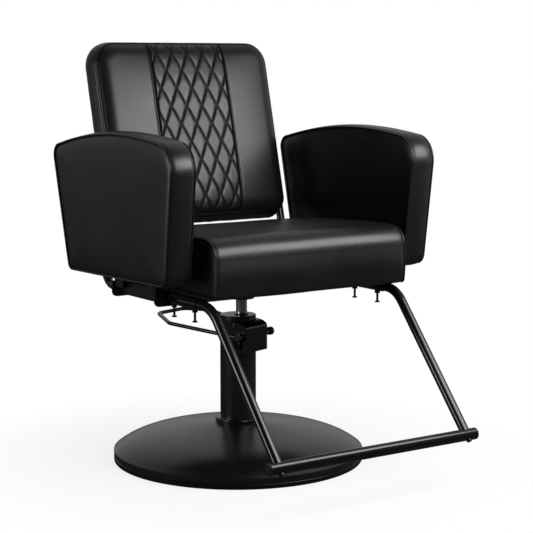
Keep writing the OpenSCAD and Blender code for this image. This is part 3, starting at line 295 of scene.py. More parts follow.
# paint: name, colour, dusty colour, roughness, bumps to a metre, their depth
threadBlack = paintMaterial("thread", (0.02, 0.02, 0.021), (0.04, 0.04, 0.04), 0.45, 2400.0, 0.05 * mm)
# a darker, nearly shineless copy of the thread for the stitches in the quilt's grooves: painted shade
shadedThread = paintMaterial("shadedThread", (0.003, 0.003, 0.003), (0.006, 0.006, 0.006), 0.7, 2400.0, 0.05 * mm,
                           specular=0.05)
finishes = {
    "satin_black": paintMaterial("satinPaint", (0.003, 0.003, 0.0033), (0.02, 0.02, 0.02), 0.28, 700.0, 0.006 * mm,
                                 specular=0.7),
    "gloss_black": paintMaterial("glossPaint", (0.003, 0.003, 0.0033), (0.02, 0.02, 0.02), 0.2, 240.0,
                                 0.001 * mm),
    "black_plastic": paintMaterial("mouldedPlastic", (0.006, 0.006, 0.0065), (0.03, 0.03, 0.03), 0.34, 1300.0,
                                   0.02 * mm),
    "base_rubber": paintMaterial("rimRubber", (0.003, 0.003, 0.003), (0.01, 0.01, 0.01), 0.35, 700.0, 0.01 * mm,
                                 specular=0.3),
    "seal_rubber": paintMaterial("sealRubber", (0.02, 0.02, 0.02), (0.06, 0.06, 0.06), 0.6, 900.0, 0.06 * mm,
                                 specular=0.3),
    # metal: name, colour, stained colour, roughness, squeeze of the tool lines, their depth
    "floor_steel": metalMaterial("millSteel", (0.42, 0.43, 0.44), (0.25, 0.22, 0.2), 0.4, (1, 6, 1), 0.05 * mm),
    "bare_steel": metalMaterial("machinedSteel", (0.5, 0.51, 0.52), (0.36, 0.34, 0.32), 0.3, (1, 1, 9), 0.03 * mm),
    "chrome": metalMaterial("chromePlate", (0.80, 0.81, 0.83), (0.7, 0.71, 0.73), 0.1, (1, 1, 14), 0.01 * mm),
    "bronze": metalMaterial("bushBronze", (0.55, 0.38, 0.18), (0.36, 0.24, 0.12), 0.32, (1, 1, 9), 0.03 * mm),
    "plywood": plywoodMaterial(),
    "black_leather": leather,
}
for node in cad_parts.values():
    for materialSlot in node.material_slots:
        materialSlot.material = finishes[materialSlot.material.name.split(".")[0]]
print("materials are built")


# Making pieces
def addPiece(name, bm, material, body, replaced=()):
    mesh = bpy.data.meshes.new(name)
    bmesh.ops.recalc_face_normals(bm, faces=bm.faces)
    for face in bm.faces:
        face.smooth = True
    bm.to_mesh(mesh)
    bm.free()
    piece = bpy.data.objects.new(name, mesh)
    scene.collection.objects.link(piece)
    mesh.materials.append(material)
    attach(piece, body)
    if replaced:
        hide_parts(*replaced)
    return piece


def arcPoints(centre, radius, start, end, steps):
    return [Vector((centre[0] + radius * math.cos(math.radians(start + (end - start) * i / steps)),
                    centre[1] + radius * math.sin(math.radians(start + (end - start) * i / steps))))
            for i in range(steps + 1)]


def evenLoop(points, count):
    # the same closed line with its points at even spacing
    lengths = [0.0]
    for i, point in enumerate(points):
        lengths.append(lengths[-1] + (points[(i + 1) % len(points)] - point).length)
    result, at = [], 0
    for k in range(count):
        want = lengths[-1] * k / count
        while lengths[at + 1] < want:
            at += 1
        span = lengths[at + 1] - lengths[at]
        share = (want - lengths[at]) / span if span > 0 else 0
        result.append(points[at].lerp(points[(at + 1) % len(points)], share))
    return result


def outwardNormals(loop):
    # for a loop that runs counter-clockwise
    normals = []
    for i in range(len(loop)):
        along = loop[(i + 1) % len(loop)] - loop[i - 1]
        normals.append(Vector((along.y, -along.x)).normalized())
    return normals


def smoothStep(value, low, high):
    t = min(1.0, max(0.0, (value - low) / (high - low)))
    return t * t * (3 - 2 * t)


def pipingAlong(name, points, radius, material, body):
    # a closed run of cord, swept along the points
    curve = bpy.data.curves.new(name, "CURVE")
    curve.dimensions = "3D"
    curve.bevel_depth = radius
    curve.bevel_resolution = 5
    spline = curve.splines.new("POLY")
    spline.points.add(len(points) - 1)
    for target, point in zip(spline.points, points):
        target.co = (*point, 1)
    spline.use_cyclic_u = True
    holder = bpy.data.objects.new(name + "Curve", curve)
    scene.collection.objects.link(holder)
    bpy.context.view_layer.update()
    bm = bmesh.new()
    bm.from_mesh(holder.evaluated_get(bpy.context.evaluated_depsgraph_get()).to_mesh())
    bpy.data.objects.remove(holder)
    bmesh.ops.remove_doubles(bm, verts=bm.verts, dist=0.00001)
    return addPiece(name, bm, material, body)


def stitchRows(name, rows, size, body, thread=threadBlack):
    # each row is a line of points and whether it is closed. A stitch is a small bead of thread laid along it
    whole = bmesh.new()
    batch = 24  # stitches made at a time, because a small bmesh grows faster
    for row, closed in rows:
        bm = bmesh.new()
        count = len(row)
        lengths = [0.0]
        for i in range(count if closed else count - 1):
            lengths.append(lengths[-1] + (row[(i + 1) % count] - row[i]).length)
        stitches = max(1, round(lengths[-1] / size["pitch"]))
        at = 0
        for k in range(stitches):
            want = lengths[-1] * (k + 0.5) / stitches
            while lengths[at + 1] < want:
                at += 1
            a, b = row[at], row[(at + 1) % count]
            middle = a.lerp(b, (want - lengths[at]) / (lengths[at + 1] - lengths[at]))
            turn = (b - a).to_track_quat("Z", "Y").to_matrix().to_4x4()
            shape = Matrix.Diagonal((size["thick"], size["thick"], size["long"], 1))
            bmesh.ops.create_uvsphere(bm, u_segments=6, v_segments=5, radius=0.5,
                                      matrix=Matrix.Translation(middle) @ turn @ shape)
            if k % batch == batch - 1 or k == stitches - 1:
                part = bpy.data.meshes.new("stitches")
                bm.to_mesh(part)
                whole.from_mesh(part)
                bpy.data.meshes.remove(part)
                bm.clear()
        bm.free()
    return addPiece(name, whole, thread, body)


stitchSize = {"pitch": 6.5 * mm, "long": 4.2 * mm, "thick": 1.4 * mm}


# Upholstered slabs: the seat and the arms
slabSet = {
    "seamWays": (11, 8, 6.6, 5.4, 4.3, 3, 1.7, 0.8, 0),  # rings of the border near the seam, in mm from it
    "panelScales": (0.93, 0.84, 0.73, 0.60, 0.46, 0.32, 0.18, 0.08),  # rings of the panel, drawn to its middle
    # rowDark, rowDarkWide and seamDarkWide set the groove mask: painted shade in the leather's shine
    "rowWide": 1.1 * mm, "rowDark": 0.7, "rowDarkWide": 1.0 * mm, "seamDarkWide": 1.5 * mm,
}


def borderInset(shape, x, swell):
    # how far the border's surface lies inside the outline, at x from the slab's middle
    reach = shape["half"] - shape["seam"]
    share = min(1.0, abs(x) / reach)
    way = reach - abs(x)
    return (shape["notch"] * math.exp(-way / shape["notchWide"])
            + shape["rowDip"] * math.exp(-((way - shape["rowWay"]) / slabSet["rowWide"]) ** 2)
            - swell * (1 - share ** shape["borderPower"]))


def panelRise(shape, inward, scale):
    # how far out the side panel's surface lies, from its distance to the outline and its share of the way out
    past = inward - shape["seam"]
    return (shape["half"] + shape["panelSwell"] * (1 - scale ** shape["panelPower"])
            - shape["notch"] * math.exp(-past / shape["notchWide"])
            - shape["round"] * math.exp(-past / shape["roundWide"]))


def slabRings(shape):
    # each ring is (x, inset, scale towards the middle, way to the seam), from the border's middle to the panel's
    reach = shape["half"] - shape["seam"]
    ways = [reach * (1 - share) for share in shape["shares"]]
    ways += [way * mm for way in slabSet["seamWays"]]
    rings = [(reach - way, None, 1.0, way) for way in ways]
    for inward in shape["insets"]:
        rings.append((panelRise(shape, inward, 1.0), inward, 1.0, inward - shape["seam"]))
    last = shape["insets"][-1]
    for scale in slabSet["panelScales"]:
        way = last + (1 - scale) * shape["panelDeep"]
        rings.append((panelRise(shape, way, scale), last, scale, way - shape["seam"]))
    return rings


def ringGroove(shape, ring):
    # 1 in the seam, and nearly so in the dip of the stitched row on the border. It is the mask of the leather's
    # painted shade
    inset, way = ring[1], ring[3]
    seam = math.exp(-way / slabSet["seamDarkWide"])
    if inset is not None:
        return seam
    return max(seam, slabSet["rowDark"] * math.exp(-((way - shape["rowWay"]) / slabSet["rowDarkWide"]) ** 2))


def slabPoint(shape, loop, normals, swells, middle, ring, i):
    x, inset, scale = ring[:3]
    if inset is None:
        inset = borderInset(shape, x, swells[i])
    flat = loop[i] - normals[i] * inset
    flat = middle + (flat - middle) * scale
    return Vector((x, flat.x, flat.y))


def buildSlab(shape, loop, swells):
    # rings of the outline are extruded from the middle line to each side, and each side panel is closed
    bm = bmesh.new()
    around = bm.verts.layers.int.new("around")
    fromSeam = bm.verts.layers.float.new("fromSeam")
    groove = bm.verts.layers.float.new("groove")
    normals = outwardNormals(loop)
    middle = (Vector((max(p.x for p in loop), max(p.y for p in loop)))
              + Vector((min(p.x for p in loop), min(p.y for p in loop)))) / 2
    rings = slabRings(shape)
    count = len(loop)
    start = [bm.verts.new(slabPoint(shape, loop, normals, swells, middle, rings[0], i)) for i in range(count)]
    for i, vert in enumerate(start):
        vert[around] = i
        vert[fromSeam] = rings[0][3]
    edges = [bm.edges.new((start[i], start[(i + 1) % count])) for i in range(count)]
    for side in (1, -1):
        current = edges
        for ring in rings[1:]:
            grown = bmesh.ops.extrude_edge_only(bm, edges=current)["geom"]
            fresh = {g for g in grown if isinstance(g, bmesh.types.BMVert)}
            current = [g for g in grown if isinstance(g, bmesh.types.BMEdge)
                       and g.verts[0] in fresh and g.verts[1] in fresh]
            for vert in fresh:
                vert.co = slabPoint(shape, loop, normals, swells, middle, ring, vert[around])
                vert.co.x *= side
                vert[fromSeam] = ring[3]
                vert[groove] = ringGroove(shape, ring)
        cap = bmesh.ops.contextual_create(bm, geom=current)["faces"]
        poked = bmesh.ops.poke(bm, faces=cap)["verts"]
        for vert in poked:
            vert.co.x = side * (shape["half"] + shape["panelSwell"])
            vert[fromSeam] = rings[-1][3]
            vert[groove] = 0
    bmesh.ops.recalc_face_normals(bm, faces=bm.faces)
    return bm, normals


def slabLine(shape, loop, normals, swells, x, inset, place):
    # a line round the slab, on the border where inset is None
    points = []
    for i, point in enumerate(loop):
        deep = borderInset(shape, x, swells[i]) if inset is None else inset
        flat = point - normals[i] * deep
        points.append(place @ Vector((x, flat.x, flat.y)))
    return points


puckerSet = {"start": 1.5 * mm, "slowStart": 25 * mm, "groups": 9, "slowOften": 7}


def pucker(bm, shape, loop, amount, seed):
    # small pulls across the seams, where the cover is gathered under the piping, and slow waves further in
    around = bm.verts.layers.int["around"]
    fromSeam = bm.verts.layers.float["fromSeam"]
    ways = [0.0]
    for i, point in enumerate(loop):
        ways.append(ways[-1] + (loop[(i + 1) % len(loop)] - point).length)
    for vert in bm.verts:
        side = seed + (5 if vert.co.x > 0 else 0)
        near = math.exp(-vert[fromSeam] / shape["puckerWide"]) * (1 - math.exp(-vert[fromSeam] / puckerSet["start"]))
        way = ways[vert[around]]
        pull = noise.noise(Vector((way * amount["often"], side, 0)))
        pull *= noise.noise(Vector((way * puckerSet["groups"], side, 4))) * 2
        slow = noise.noise(vert.co * puckerSet["slowOften"] + Vector((seed, 0, seed)))
        far = 1 - math.exp(-vert[fromSeam] / puckerSet["slowStart"])
        vert.co += vert.normal * (pull * near * amount["deep"] + slow * far * amount["slow"])


def finishPad(piece, levels):
    smoothing = piece.modifiers.new("round", "SUBSURF")
    smoothing.levels = levels
    smoothing.render_levels = levels
    smoothing.use_limit_surface = False


# The seat cushion: one cover over the top and front, with side panels sewn in between piping
seatShape = {
    "half": 261 * mm, "seam": 3.6 * mm, "notch": 2.8 * mm, "notchWide": 3.2 * mm, "borderPower": 6,
    "panelSwell": 6 * mm, "panelPower": 3, "panelDeep": 60 * mm, "round": 5 * mm, "roundWide": 16 * mm,
    "insets": [4.6 * mm, 6 * mm, 8.5 * mm, 12 * mm, 18 * mm, 25 * mm, 33 * mm], "puckerWide": 9 * mm,
    "shares": (0, 0.2, 0.38, 0.54, 0.68, 0.8, 0.88, 0.93), "rowWay": 5.4 * mm, "rowDip": 0.6 * mm,
}
seatSize = {"front": -296 * mm, "rear": 170 * mm, "top": 571 * mm, "drop": 22 * mm, "crown": 7 * mm,
            "roll": 44 * mm, "floor": 442.5 * mm, "low": 439 * mm, "lowCorner": 10 * mm, "rearCorner": 16 * mm,
            "bow": 3 * mm, "hump": 1.5, "swellFrom": 6 * mm, "swellTo": 60 * mm, "swellEnds": 0.45, "swellMid": 1.5}


def seatOutline():
    s = seatSize
    rearTop = s["top"] - s["drop"]
    points = arcPoints((s["rear"] - s["lowCorner"], s["floor"] + s["lowCorner"]), s["lowCorner"], -90, 0, 8)
    points += arcPoints((s["rear"] - s["rearCorner"], rearTop - s["rearCorner"]), s["rearCorner"], 0, 88, 10)
    run = s["rear"] - s["front"] - s["rearCorner"] - s["roll"]
    for i in range(1, 60):
        t = i / 60
        points.append(Vector((s["rear"] - s["rearCorner"] - t * run,
                              rearTop + s["drop"] * t * (1 + s["hump"] * (1 - t)))))
    points += arcPoints((s["front"] + s["roll"], s["top"] - s["roll"]), s["roll"], 92, 180, 24)
    for i in range(1, 16):
        t = i / 16
        points.append(Vector((s["front"] - s["bow"] * math.sin(math.pi * t),
                              s["top"] - s["roll"] - t * (s["top"] - s["roll"] - s["low"] - s["lowCorner"]))))
    points += arcPoints((s["front"] + s["lowCorner"], s["low"] + s["lowCorner"]), s["lowCorner"], 180, 268, 8)
    return evenLoop(points, 190)


def seatSwells(loop):
    # the cover is flat at the bottom and fullest half way back
    s = seatSize
    swells = []
    for point in loop:
        low = smoothStep(point.y, s["low"] + s["swellFrom"], s["low"] + s["swellTo"])
        share = (point.x - s["front"]) / (s["rear"] - s["front"])
        hill = s["swellEnds"] + s["swellMid"] * max(0.0, share * (1 - share))
        swells.append(s["crown"] * low * hill)
    return swells


seatPucker = {"often": 70, "deep": 1.6 * mm, "slow": 1.2 * mm}
seatPipe = {"radius": 2.1 * mm, "in": 2.0 * mm, "row": seatShape["seam"] + seatShape["rowWay"]}
seatLoop = seatOutline()
seatSwell = seatSwells(seatLoop)
seatMesh, seatNormals = buildSlab(seatShape, seatLoop, seatSwell)
pucker(seatMesh, seatShape, seatLoop, seatPucker, 3)
seatPad = addPiece("seatCushion", seatMesh, leather, "seat", ["seat_cushion"])
finishPad(seatPad, 1)
seatRows = []
for side, sideName in ((-1, "right"), (1, "left")):
    seamX = side * (seatShape["half"] - seatPipe["in"])
    line = slabLine(seatShape, seatLoop, seatNormals, seatSwell, seamX, seatPipe["in"], Matrix())
    pipingAlong(sideName + "SeatPiping", line, seatPipe["radius"], cordLeather, "seat")
    rowX = side * (seatShape["half"] - seatPipe["row"])
    seatRows.append((slabLine(seatShape, seatLoop, seatNormals, seatSwell, rowX, None, Matrix()), True))
stitchRows("seatStitches", seatRows, stitchSize, "seat")
print("seat cushion is built")

# The arms: two face panels and a border strip between two runs of piping
armShape = {
    "half": 33 * mm, "seam": 3.2 * mm, "notch": 2.4 * mm, "notchWide": 2.8 * mm, "borderPower": 2,
    "panelSwell": 0.8 * mm, "panelPower": 4, "panelDeep": 90 * mm, "round": 3.8 * mm, "roundWide": 15 * mm,
    "insets": [4.2 * mm, 5.5 * mm, 8 * mm, 11 * mm, 15.5 * mm, 21 * mm, 27 * mm], "puckerWide": 7 * mm,
    "shares": (0, 0.22, 0.42, 0.6), "rowWay": 5.4 * mm, "rowDip": 0.6 * mm,
}
armSize = {
    "inner": 294 * mm, "thick": 66 * mm, "bottom": 470 * mm, "rearLow": 463 * mm, "frontTop": 780 * mm,
    "rearTop": 760 * mm, "dome": 21 * mm, "rear": 263 * mm, "front": 277 * mm, "lowFront": 250 * mm,
    "lowRear": 203 * mm, "frontCorner": 62 * mm, "rearCorner": 30 * mm, "lowFrontCorner": 28 * mm,
    "lowRearCorner": 20 * mm, "lean": 0.5, "boxSwell": 4.2 * mm, "swellLow": 0.7, "swellFrom": 480 * mm,
    "swellTo": 520 * mm,
}


def armOutline():
    a = armSize
    points = arcPoints((a["lowRear"] - a["lowRearCorner"], a["rearLow"] + a["lowRearCorner"]),
                       a["lowRearCorner"], -85, -10, 12)
    points += arcPoints((a["rear"] - a["rearCorner"], a["rearTop"] - a["rearCorner"]), a["rearCorner"], -10, 75, 14)
    start, end = a["rear"] - a["rearCorner"], -a["front"] + a["frontCorner"]
    for i in range(1, 70):
        t = i / 70
        points.append(Vector((start + (end - start) * t, a["rearTop"] + (a["frontTop"] - a["rearTop"]) * t
                              + 4 * a["dome"] * t * (1 - t))))
    points += arcPoints((end, a["frontTop"] - a["frontCorner"]), a["frontCorner"], 102, 184, 26)
    points += arcPoints((-a["lowFront"] + a["lowFrontCorner"], a["bottom"] + a["lowFrontCorner"]),
                        a["lowFrontCorner"], 188, 266, 14)
    return evenLoop(points, 210)


armLoop = armOutline()
armSwell = [armSize["boxSwell"] * (armSize["swellLow"] + (1 - armSize["swellLow"])
                                   * smoothStep(p.y, armSize["swellFrom"], armSize["swellTo"])) for p in armLoop]
armPucker = {"often": 75, "deep": 1.2 * mm, "slow": 0.8 * mm}
armPipe = {"radius": 1.9 * mm, "in": 1.8 * mm, "row": armShape["seam"] + armShape["rowWay"]}
for side, sideName in ((-1, "right"), (1, "left")):
    midZ = (armSize["bottom"] + armSize["frontTop"]) / 2
    armPlace = (Matrix.Diagonal((side, 1, 1, 1))
                @ Matrix.Translation((armSize["inner"] + armSize["thick"] / 2, 0, midZ))
                @ Matrix.Rotation(math.radians(armSize["lean"]), 4, "Y") @ Matrix.Translation((0, 0, -midZ)))
    armMesh, armNormals = buildSlab(armShape, armLoop, armSwell)
    pucker(armMesh, armShape, armLoop, armPucker, 11 + side)
    bmesh.ops.transform(armMesh, matrix=armPlace, verts=armMesh.verts)
    armPad = addPiece(sideName + "ArmPad", armMesh, leather, "seat", [sideName + "_arm_pad"])
    finishPad(armPad, 1)
    armRows = []
    for face, faceName in ((-1, "Inner"), (1, "Outer")):
        line = slabLine(armShape, armLoop, armNormals, armSwell, face * (armShape["half"] - armPipe["in"]),
                        armPipe["in"], armPlace)
        pipingAlong(sideName + "Arm" + faceName + "Piping", line, armPipe["radius"], cordLeather, "seat")
        armRows.append((slabLine(armShape, armLoop, armNormals, armSwell,
                                 face * (armShape["half"] - armPipe["row"]), None, armPlace), True))
    stitchRows(sideName + "ArmStitches", armRows, stitchSize, "seat")
print("arms are built")

# The back
backSize = {
    "y": 157 * mm, "z": 576 * mm, "lean": 14, "half": 245 * mm, "length": 434 * mm, "deep": 62 * mm,
    "edge": 5 * mm, "corner": 54 * mm, "lowCorner": 36 * mm, "crown": 9 * mm, "sideSwell": 8 * mm,
    "lowSwell": 13 * mm, "seamDip": 3.0 * mm, "seamWide": 2.0 * mm, "roll": 32 * mm, "rollDeep": 9 * mm,
    "rollPower": 2.2, "lift": 4 * mm, "fold": 0.8 * mm,
    # the hem beside the quilted panel, and the dip of its stitched row
    "hem": 1.6 * mm, "hemWay": 4 * mm, "hemWide": 2.5 * mm,
    "rowDip": 0.7 * mm, "rowWay": 7.5 * mm, "rowWide": 1.6 * mm,
}
quiltSize = {
    "half": 104 * mm, "wide": 44 * mm, "tall": 90 * mm, "firstRow": 28 * mm, "split": 10,
    "puff": 3.2 * mm, "puffWide": 1.4 * mm, "puffPower": 1.6, "broad": 0.3, "broadArea": 130 * mm * mm,
    "sunk": 1.9 * mm, "uneven": 0.08, "fade": 4 * mm, "rimFade": 7 * mm,
    # dark and sideDark are the widths of the groove mask along the quilt's seams and beside the panel: painted shade
    # in the leather's shine
    "crease": 0.3 * mm, "creaseFrom": 1 * mm, "creaseTo": 5 * mm, "dark": 1.3 * mm, "sideDark": 1.5 * mm,
}
backPlace = (Matrix.Translation((0, backSize["y"], backSize["z"]))
             @ Matrix.Rotation(math.radians(-backSize["lean"]), 4, "X"))
gridHalf = backSize["half"] - backSize["edge"]
gridTall = backSize["length"] / 2 - backSize["edge"]
backMiddle = backSize["length"] / 2
rimDeep = backSize["rollDeep"] - backSize["lift"]  # how far the seam round the front lies behind the board's plane


def cornerAt(up):
    # the radius of the grid's corners; up is above zero for the top ones
    return (backSize["corner"] if up > 0 else backSize["lowCorner"]) - backSize["edge"]


def quiltSeams(x, z):
    # distances to the nearest seams of the two sets of diagonals
    q = quiltSize
    k = x / q["wide"]
    j = (backSize["length"] - q["firstRow"] - z) / q["tall"]
    apart = q["wide"] * q["tall"] / math.hypot(q["wide"], q["tall"])
    return abs(k + j - round(k + j)) * apart, abs(k - j - round(k - j)) * apart


def grooveShare(x, z, rim):
    # 1 in the bottoms of the quilt's seams and of the seams beside it, the mask of the leather's painted shade
    q = quiltSize
    beside = abs(x) - q["half"]
    share = math.exp(-(beside / q["sideDark"]) ** 2)
    if beside < 0:
        near = min(quiltSeams(x, z))
        share = max(share, math.exp(-(near / q["dark"]) ** 2) * smoothStep(rim, 0, q["rimFade"]))
    return share


def frontRelief(x, z, rim):
    # how far the front cover stands out, at a place on it and its distance from the rim
    s, q = backSize, quiltSize
    a, b = x / gridHalf, (z - backMiddle) / gridTall
    out = s["lift"] + s["crown"] * (1 - min(1, abs(a)) ** 4) * (1 - min(1, abs(b)) ** 6)
    out -= s["rollDeep"] * max(0.0, 1 - rim / s["roll"]) ** s["rollPower"]
    beside = abs(x) - q["half"]
    out -= s["seamDip"] * math.exp(-(beside / s["seamWide"]) ** 2)
    if beside > 0:
        out += s["hem"] * math.exp(-((beside - s["hemWay"]) / s["hemWide"]) ** 2)
        out -= s["rowDip"] * math.exp(-((beside - s["rowWay"]) / s["rowWide"]) ** 2)
        return out
    first, second = quiltSeams(x, z)
    pillow = 1.0
    for way in (first, second):
        pillow *= 1 - math.exp(-(way / q["puffWide"]) ** q["puffPower"])
    pillow += q["broad"] * min(1.0, first * second / q["broadArea"])
    pillow *= 1 + q["uneven"] * noise.noise(Vector((x * 45, 0, z * 25)))
    fade = smoothStep(-beside, 0, q["fade"]) * smoothStep(rim, 0, q["rimFade"])
    near = min(first, second)
    crease = noise.noise(Vector((x * 260, 3, z * 60))) * q["crease"]
    crease *= math.exp(-near / q["creaseTo"]) * (1 - math.exp(-near / q["creaseFrom"]))
    return out + (q["puff"] * pillow - q["sunk"] + crease) * fade


def roundedPlace(u, v):
    # the square grid drawn into the back's outline with round corners
    corner = cornerAt(v)
    x, z = u * gridHalf, v * gridTall
    px = (abs(x) - (gridHalf - corner)) / corner
    pz = (abs(z) - (gridTall - corner)) / corner
    if px > 0 and pz > 0:
        x = math.copysign(gridHalf - corner + corner * px * math.sqrt(1 - pz * pz / 2), x)
        z = math.copysign(gridTall - corner + corner * pz * math.sqrt(1 - px * px / 2), z)
    return x, z + backMiddle


def rimDistance(x, z):
    corner = cornerAt(z - backMiddle)
    dx, dz = abs(x) - (gridHalf - corner), abs(z - backMiddle) - (gridTall - corner)
    outside = math.hypot(max(dx, 0), max(dz, 0))
    return max(0.0, corner - outside - min(max(dx, dz), 0))


gridSet = {
    "hemColumns": (0, 1.4, 2.8, 4.2, 5.6, 7, 8.5, 10, 12.5),  # columns beside the quilted panel, in mm from it
    "sideColumns": 26, "sidePower": 1.35,  # the plain sides' columns, closer together towards the rim
    "rimRows": (0.9, 2.2), "leastGap": 0.5 * mm,  # rows near the top and bottom, in mm from the rim
}


def gridColumns():
    # columns keep to the diamonds' spacing in the quilted panel, so the seams run through the grid's corners
    half, columns = quiltSize["half"], gridSet["sideColumns"]
    step = quiltSize["wide"] / quiltSize["split"] / 2
    inner = [i * step for i in range(-60, 61) if abs(i * step) < half - step / 2]
    beside = [half + d * mm for d in gridSet["hemColumns"]]
    last = beside[-1]
    run = gridHalf - last
    beside += [last + run * (1 - (1 - i / columns) ** gridSet["sidePower"]) for i in range(1, columns + 1)]
    return [-x for x in reversed(beside)] + inner + beside


def gridRows():
    step = quiltSize["tall"] / quiltSize["split"] / 2
    first = backSize["length"] - quiltSize["firstRow"]
    low, high = backMiddle - gridTall, backMiddle + gridTall
    rows = [first + i * step for i in range(-160, 40) if low + step / 2 < first + i * step < high - step / 2]
    near = [d * mm for d in gridSet["rimRows"]]
    lowest = [low + d for d in near if low + d < rows[0] - gridSet["leastGap"]]
    highest = [high - d for d in reversed(near) if high - d > rows[-1] + gridSet["leastGap"]]
    return [low] + lowest + rows + highest + [high]


# the border from the front's seam to the rear: depth, growth beyond the grid, share of the swell, dark of a seam (the
# mask of painted shade in the leather's shine)
borderSteps = [(rimDeep + past * mm, backSize["edge"] - inside * mm, share, dark) for past, inside, share, dark in (
    (0.9, 5.3, 0, 1.0), (1.7, 2.6, 0, 0.4), (3.0, 0.4, 0, 0), (5.0, 0, 0.05, 0), (7.2, 0.2, 0.1, 0),
    (8.6, 0.8, 0.15, 0.7), (10, 0.2, 0.25, 0), (16, 0, 0.45, 0), (23, 0, 0.7, 0), (31, 0, 0.95, 0), (39, 0, 1.05, 0))]
borderSteps += [(backSize["deep"] - before * mm, backSize["edge"] - inside * mm, share, 0)
                for before, inside, share in ((9, 0, 0.9), (3, 1, 0.3), (0, 3, 0))]


def buildBackPad():
    bm = bmesh.new()
    outward = bm.verts.layers.float_vector.new("outward")
    origin = bm.verts.layers.float_vector.new("origin")
    groove = bm.verts.layers.float.new("groove")
    columns, rows = gridColumns(), gridRows()
    bmesh.ops.create_grid(bm, x_segments=len(columns) - 1, y_segments=len(rows) - 1, size=1)
    for vert in bm.verts:
        across = columns[round((vert.co.x + 1) / 2 * (len(columns) - 1))]
        up = rows[round((vert.co.y + 1) / 2 * (len(rows) - 1))]
        x, z = roundedPlace(across / gridHalf, (up - backMiddle) / gridTall)
        vert[groove] = grooveShare(x, z, rimDistance(x, z))
        vert.co = (x, -frontRelief(x, z, rimDistance(x, z)), z)
    rim = [e for e in bm.edges if e.is_boundary]
    rimVerts = {v for e in rim for v in e.verts}
    for vert in rimVerts:
        x, z = vert.co.x, vert.co.z - backMiddle
        corner = cornerAt(z)
        centre = Vector((math.copysign(min(abs(x), gridHalf - corner), x),
                         math.copysign(min(abs(z), gridTall - corner), z)))
        away = Vector((x, z)) - centre
        away.normalize()
        vert[outward] = (away.x, 0, away.y)
        vert[origin] = (x, 0, z + backMiddle)
    current = rim
    for depth, growth, share, dark in borderSteps:
        grown = bmesh.ops.extrude_edge_only(bm, edges=current)["geom"]
        fresh = {g for g in grown if isinstance(g, bmesh.types.BMVert)}
        current = [g for g in grown if isinstance(g, bmesh.types.BMEdge)
                   and g.verts[0] in fresh and g.verts[1] in fresh]
        for vert in fresh:
            away, base = vert[outward], vert[origin]
            vert[groove] = dark
            swell = backSize["sideSwell"] + (backSize["lowSwell"] - backSize["sideSwell"]) * max(0.0, -away.z)
            fold = noise.noise(Vector((base.x * 60, depth * 12, base.z * 60))) * backSize["fold"] * share
            reach = growth + (swell + fold) * share
            vert.co = Vector((base.x + away.x * reach, depth, base.z + away.z * reach))
    bmesh.ops.triangle_fill(bm, edges=current, use_beauty=True)
    bmesh.ops.transform(bm, matrix=backPlace, verts=bm.verts)
    return bm


def roundedLoop(half, tall, corners, growth, count):
    # a loop with round corners about the back's middle, grown outwards. corners has the low and the top radius
    points = []
    for sx, sz, start in ((-1, -1, 180), (1, -1, 270), (1, 1, 0), (-1, 1, 90)):
        corner = corners[sz > 0]
        points += arcPoints((sx * (half - corner), backMiddle + sz * (tall - corner)), corner + growth,
                            start, start + 90, 14)
    return evenLoop(points, count)


backPad = addPiece("backPad", buildBackPad(), leather, "seat", ["back_pad"])
finishPad(backPad, 1)
# rimPast is how far the border's sewn dip lies behind the front's seam, as in borderSteps
rowSet = {"rimGrowth": 4.5 * mm, "rimPast": 8.6 * mm, "hemWay": 7 * mm, "hemEnd": 8 * mm, "proud": 0.1 * mm}
quiltThread = {"pitch": 5.0 * mm, "long": 3.6 * mm, "thick": 0.8 * mm, "end": 12 * mm, "side": 2 * mm,
               "sunk": 0.1 * mm}


def onFront(x, z, proud):
    # a place on the front cover, a little proud of it
    return backPlace @ Vector((x, -frontRelief(x, z, rimDistance(x, z)) - proud, z))


def backStitchRows():
    rimLoop = roundedLoop(gridHalf, gridTall, (cornerAt(-1), cornerAt(1)), rowSet["rimGrowth"], 260)
    rows = [([backPlace @ Vector((p.x, rimDeep + rowSet["rimPast"], p.y)) for p in rimLoop], True)]
    run = backSize["length"] - 2 * rowSet["hemEnd"]
    for side in (-1, 1):
        x = side * (quiltSize["half"] + rowSet["hemWay"])
        rows.append(([onFront(x, rowSet["hemEnd"] + run * i / 100, rowSet["proud"]) for i in range(101)], False))
    return rows


def quiltStitchRows():
    # the sewn diagonals of the quilted panel, as lines in the bottoms of its grooves
    q, length = quiltSize, backSize["length"]
    rows = []
    start = q["half"] - quiltThread["side"]
    for direction in (-1, 1):
        for k in range(-14, 15):
            line = []
            for i in range(241):
                x = -start + 2 * start * i / 240
                z = length - q["firstRow"] - direction * q["tall"] / q["wide"] * (x - k * q["wide"])
                if quiltThread["end"] < z < length - quiltThread["end"]:
                    line.append(onFront(x, z, -quiltThread["sunk"]))
            if len(line) > 4:
                rows.append((line, False))
    return rows


stitchRows("backStitches", backStitchRows(), stitchSize, "seat")
# the quilt's stitches take the darker copy of the thread, painted shade in the grooves
stitchRows("quiltStitches", quiltStitchRows(), quiltThread, "seat", shadedThread)


# the cover behind the back: a thin padded board with a welted edge. Each welt is (inwards, outwards)
rearPanelSize = {"inside": 2 * mm, "corner": 56 * mm, "sunk": 0.3 * mm, "thick": 6.5 * mm,
                 "welts": ((2.2 * mm, 2.5 * mm), (4 * mm, 0.4 * mm))}


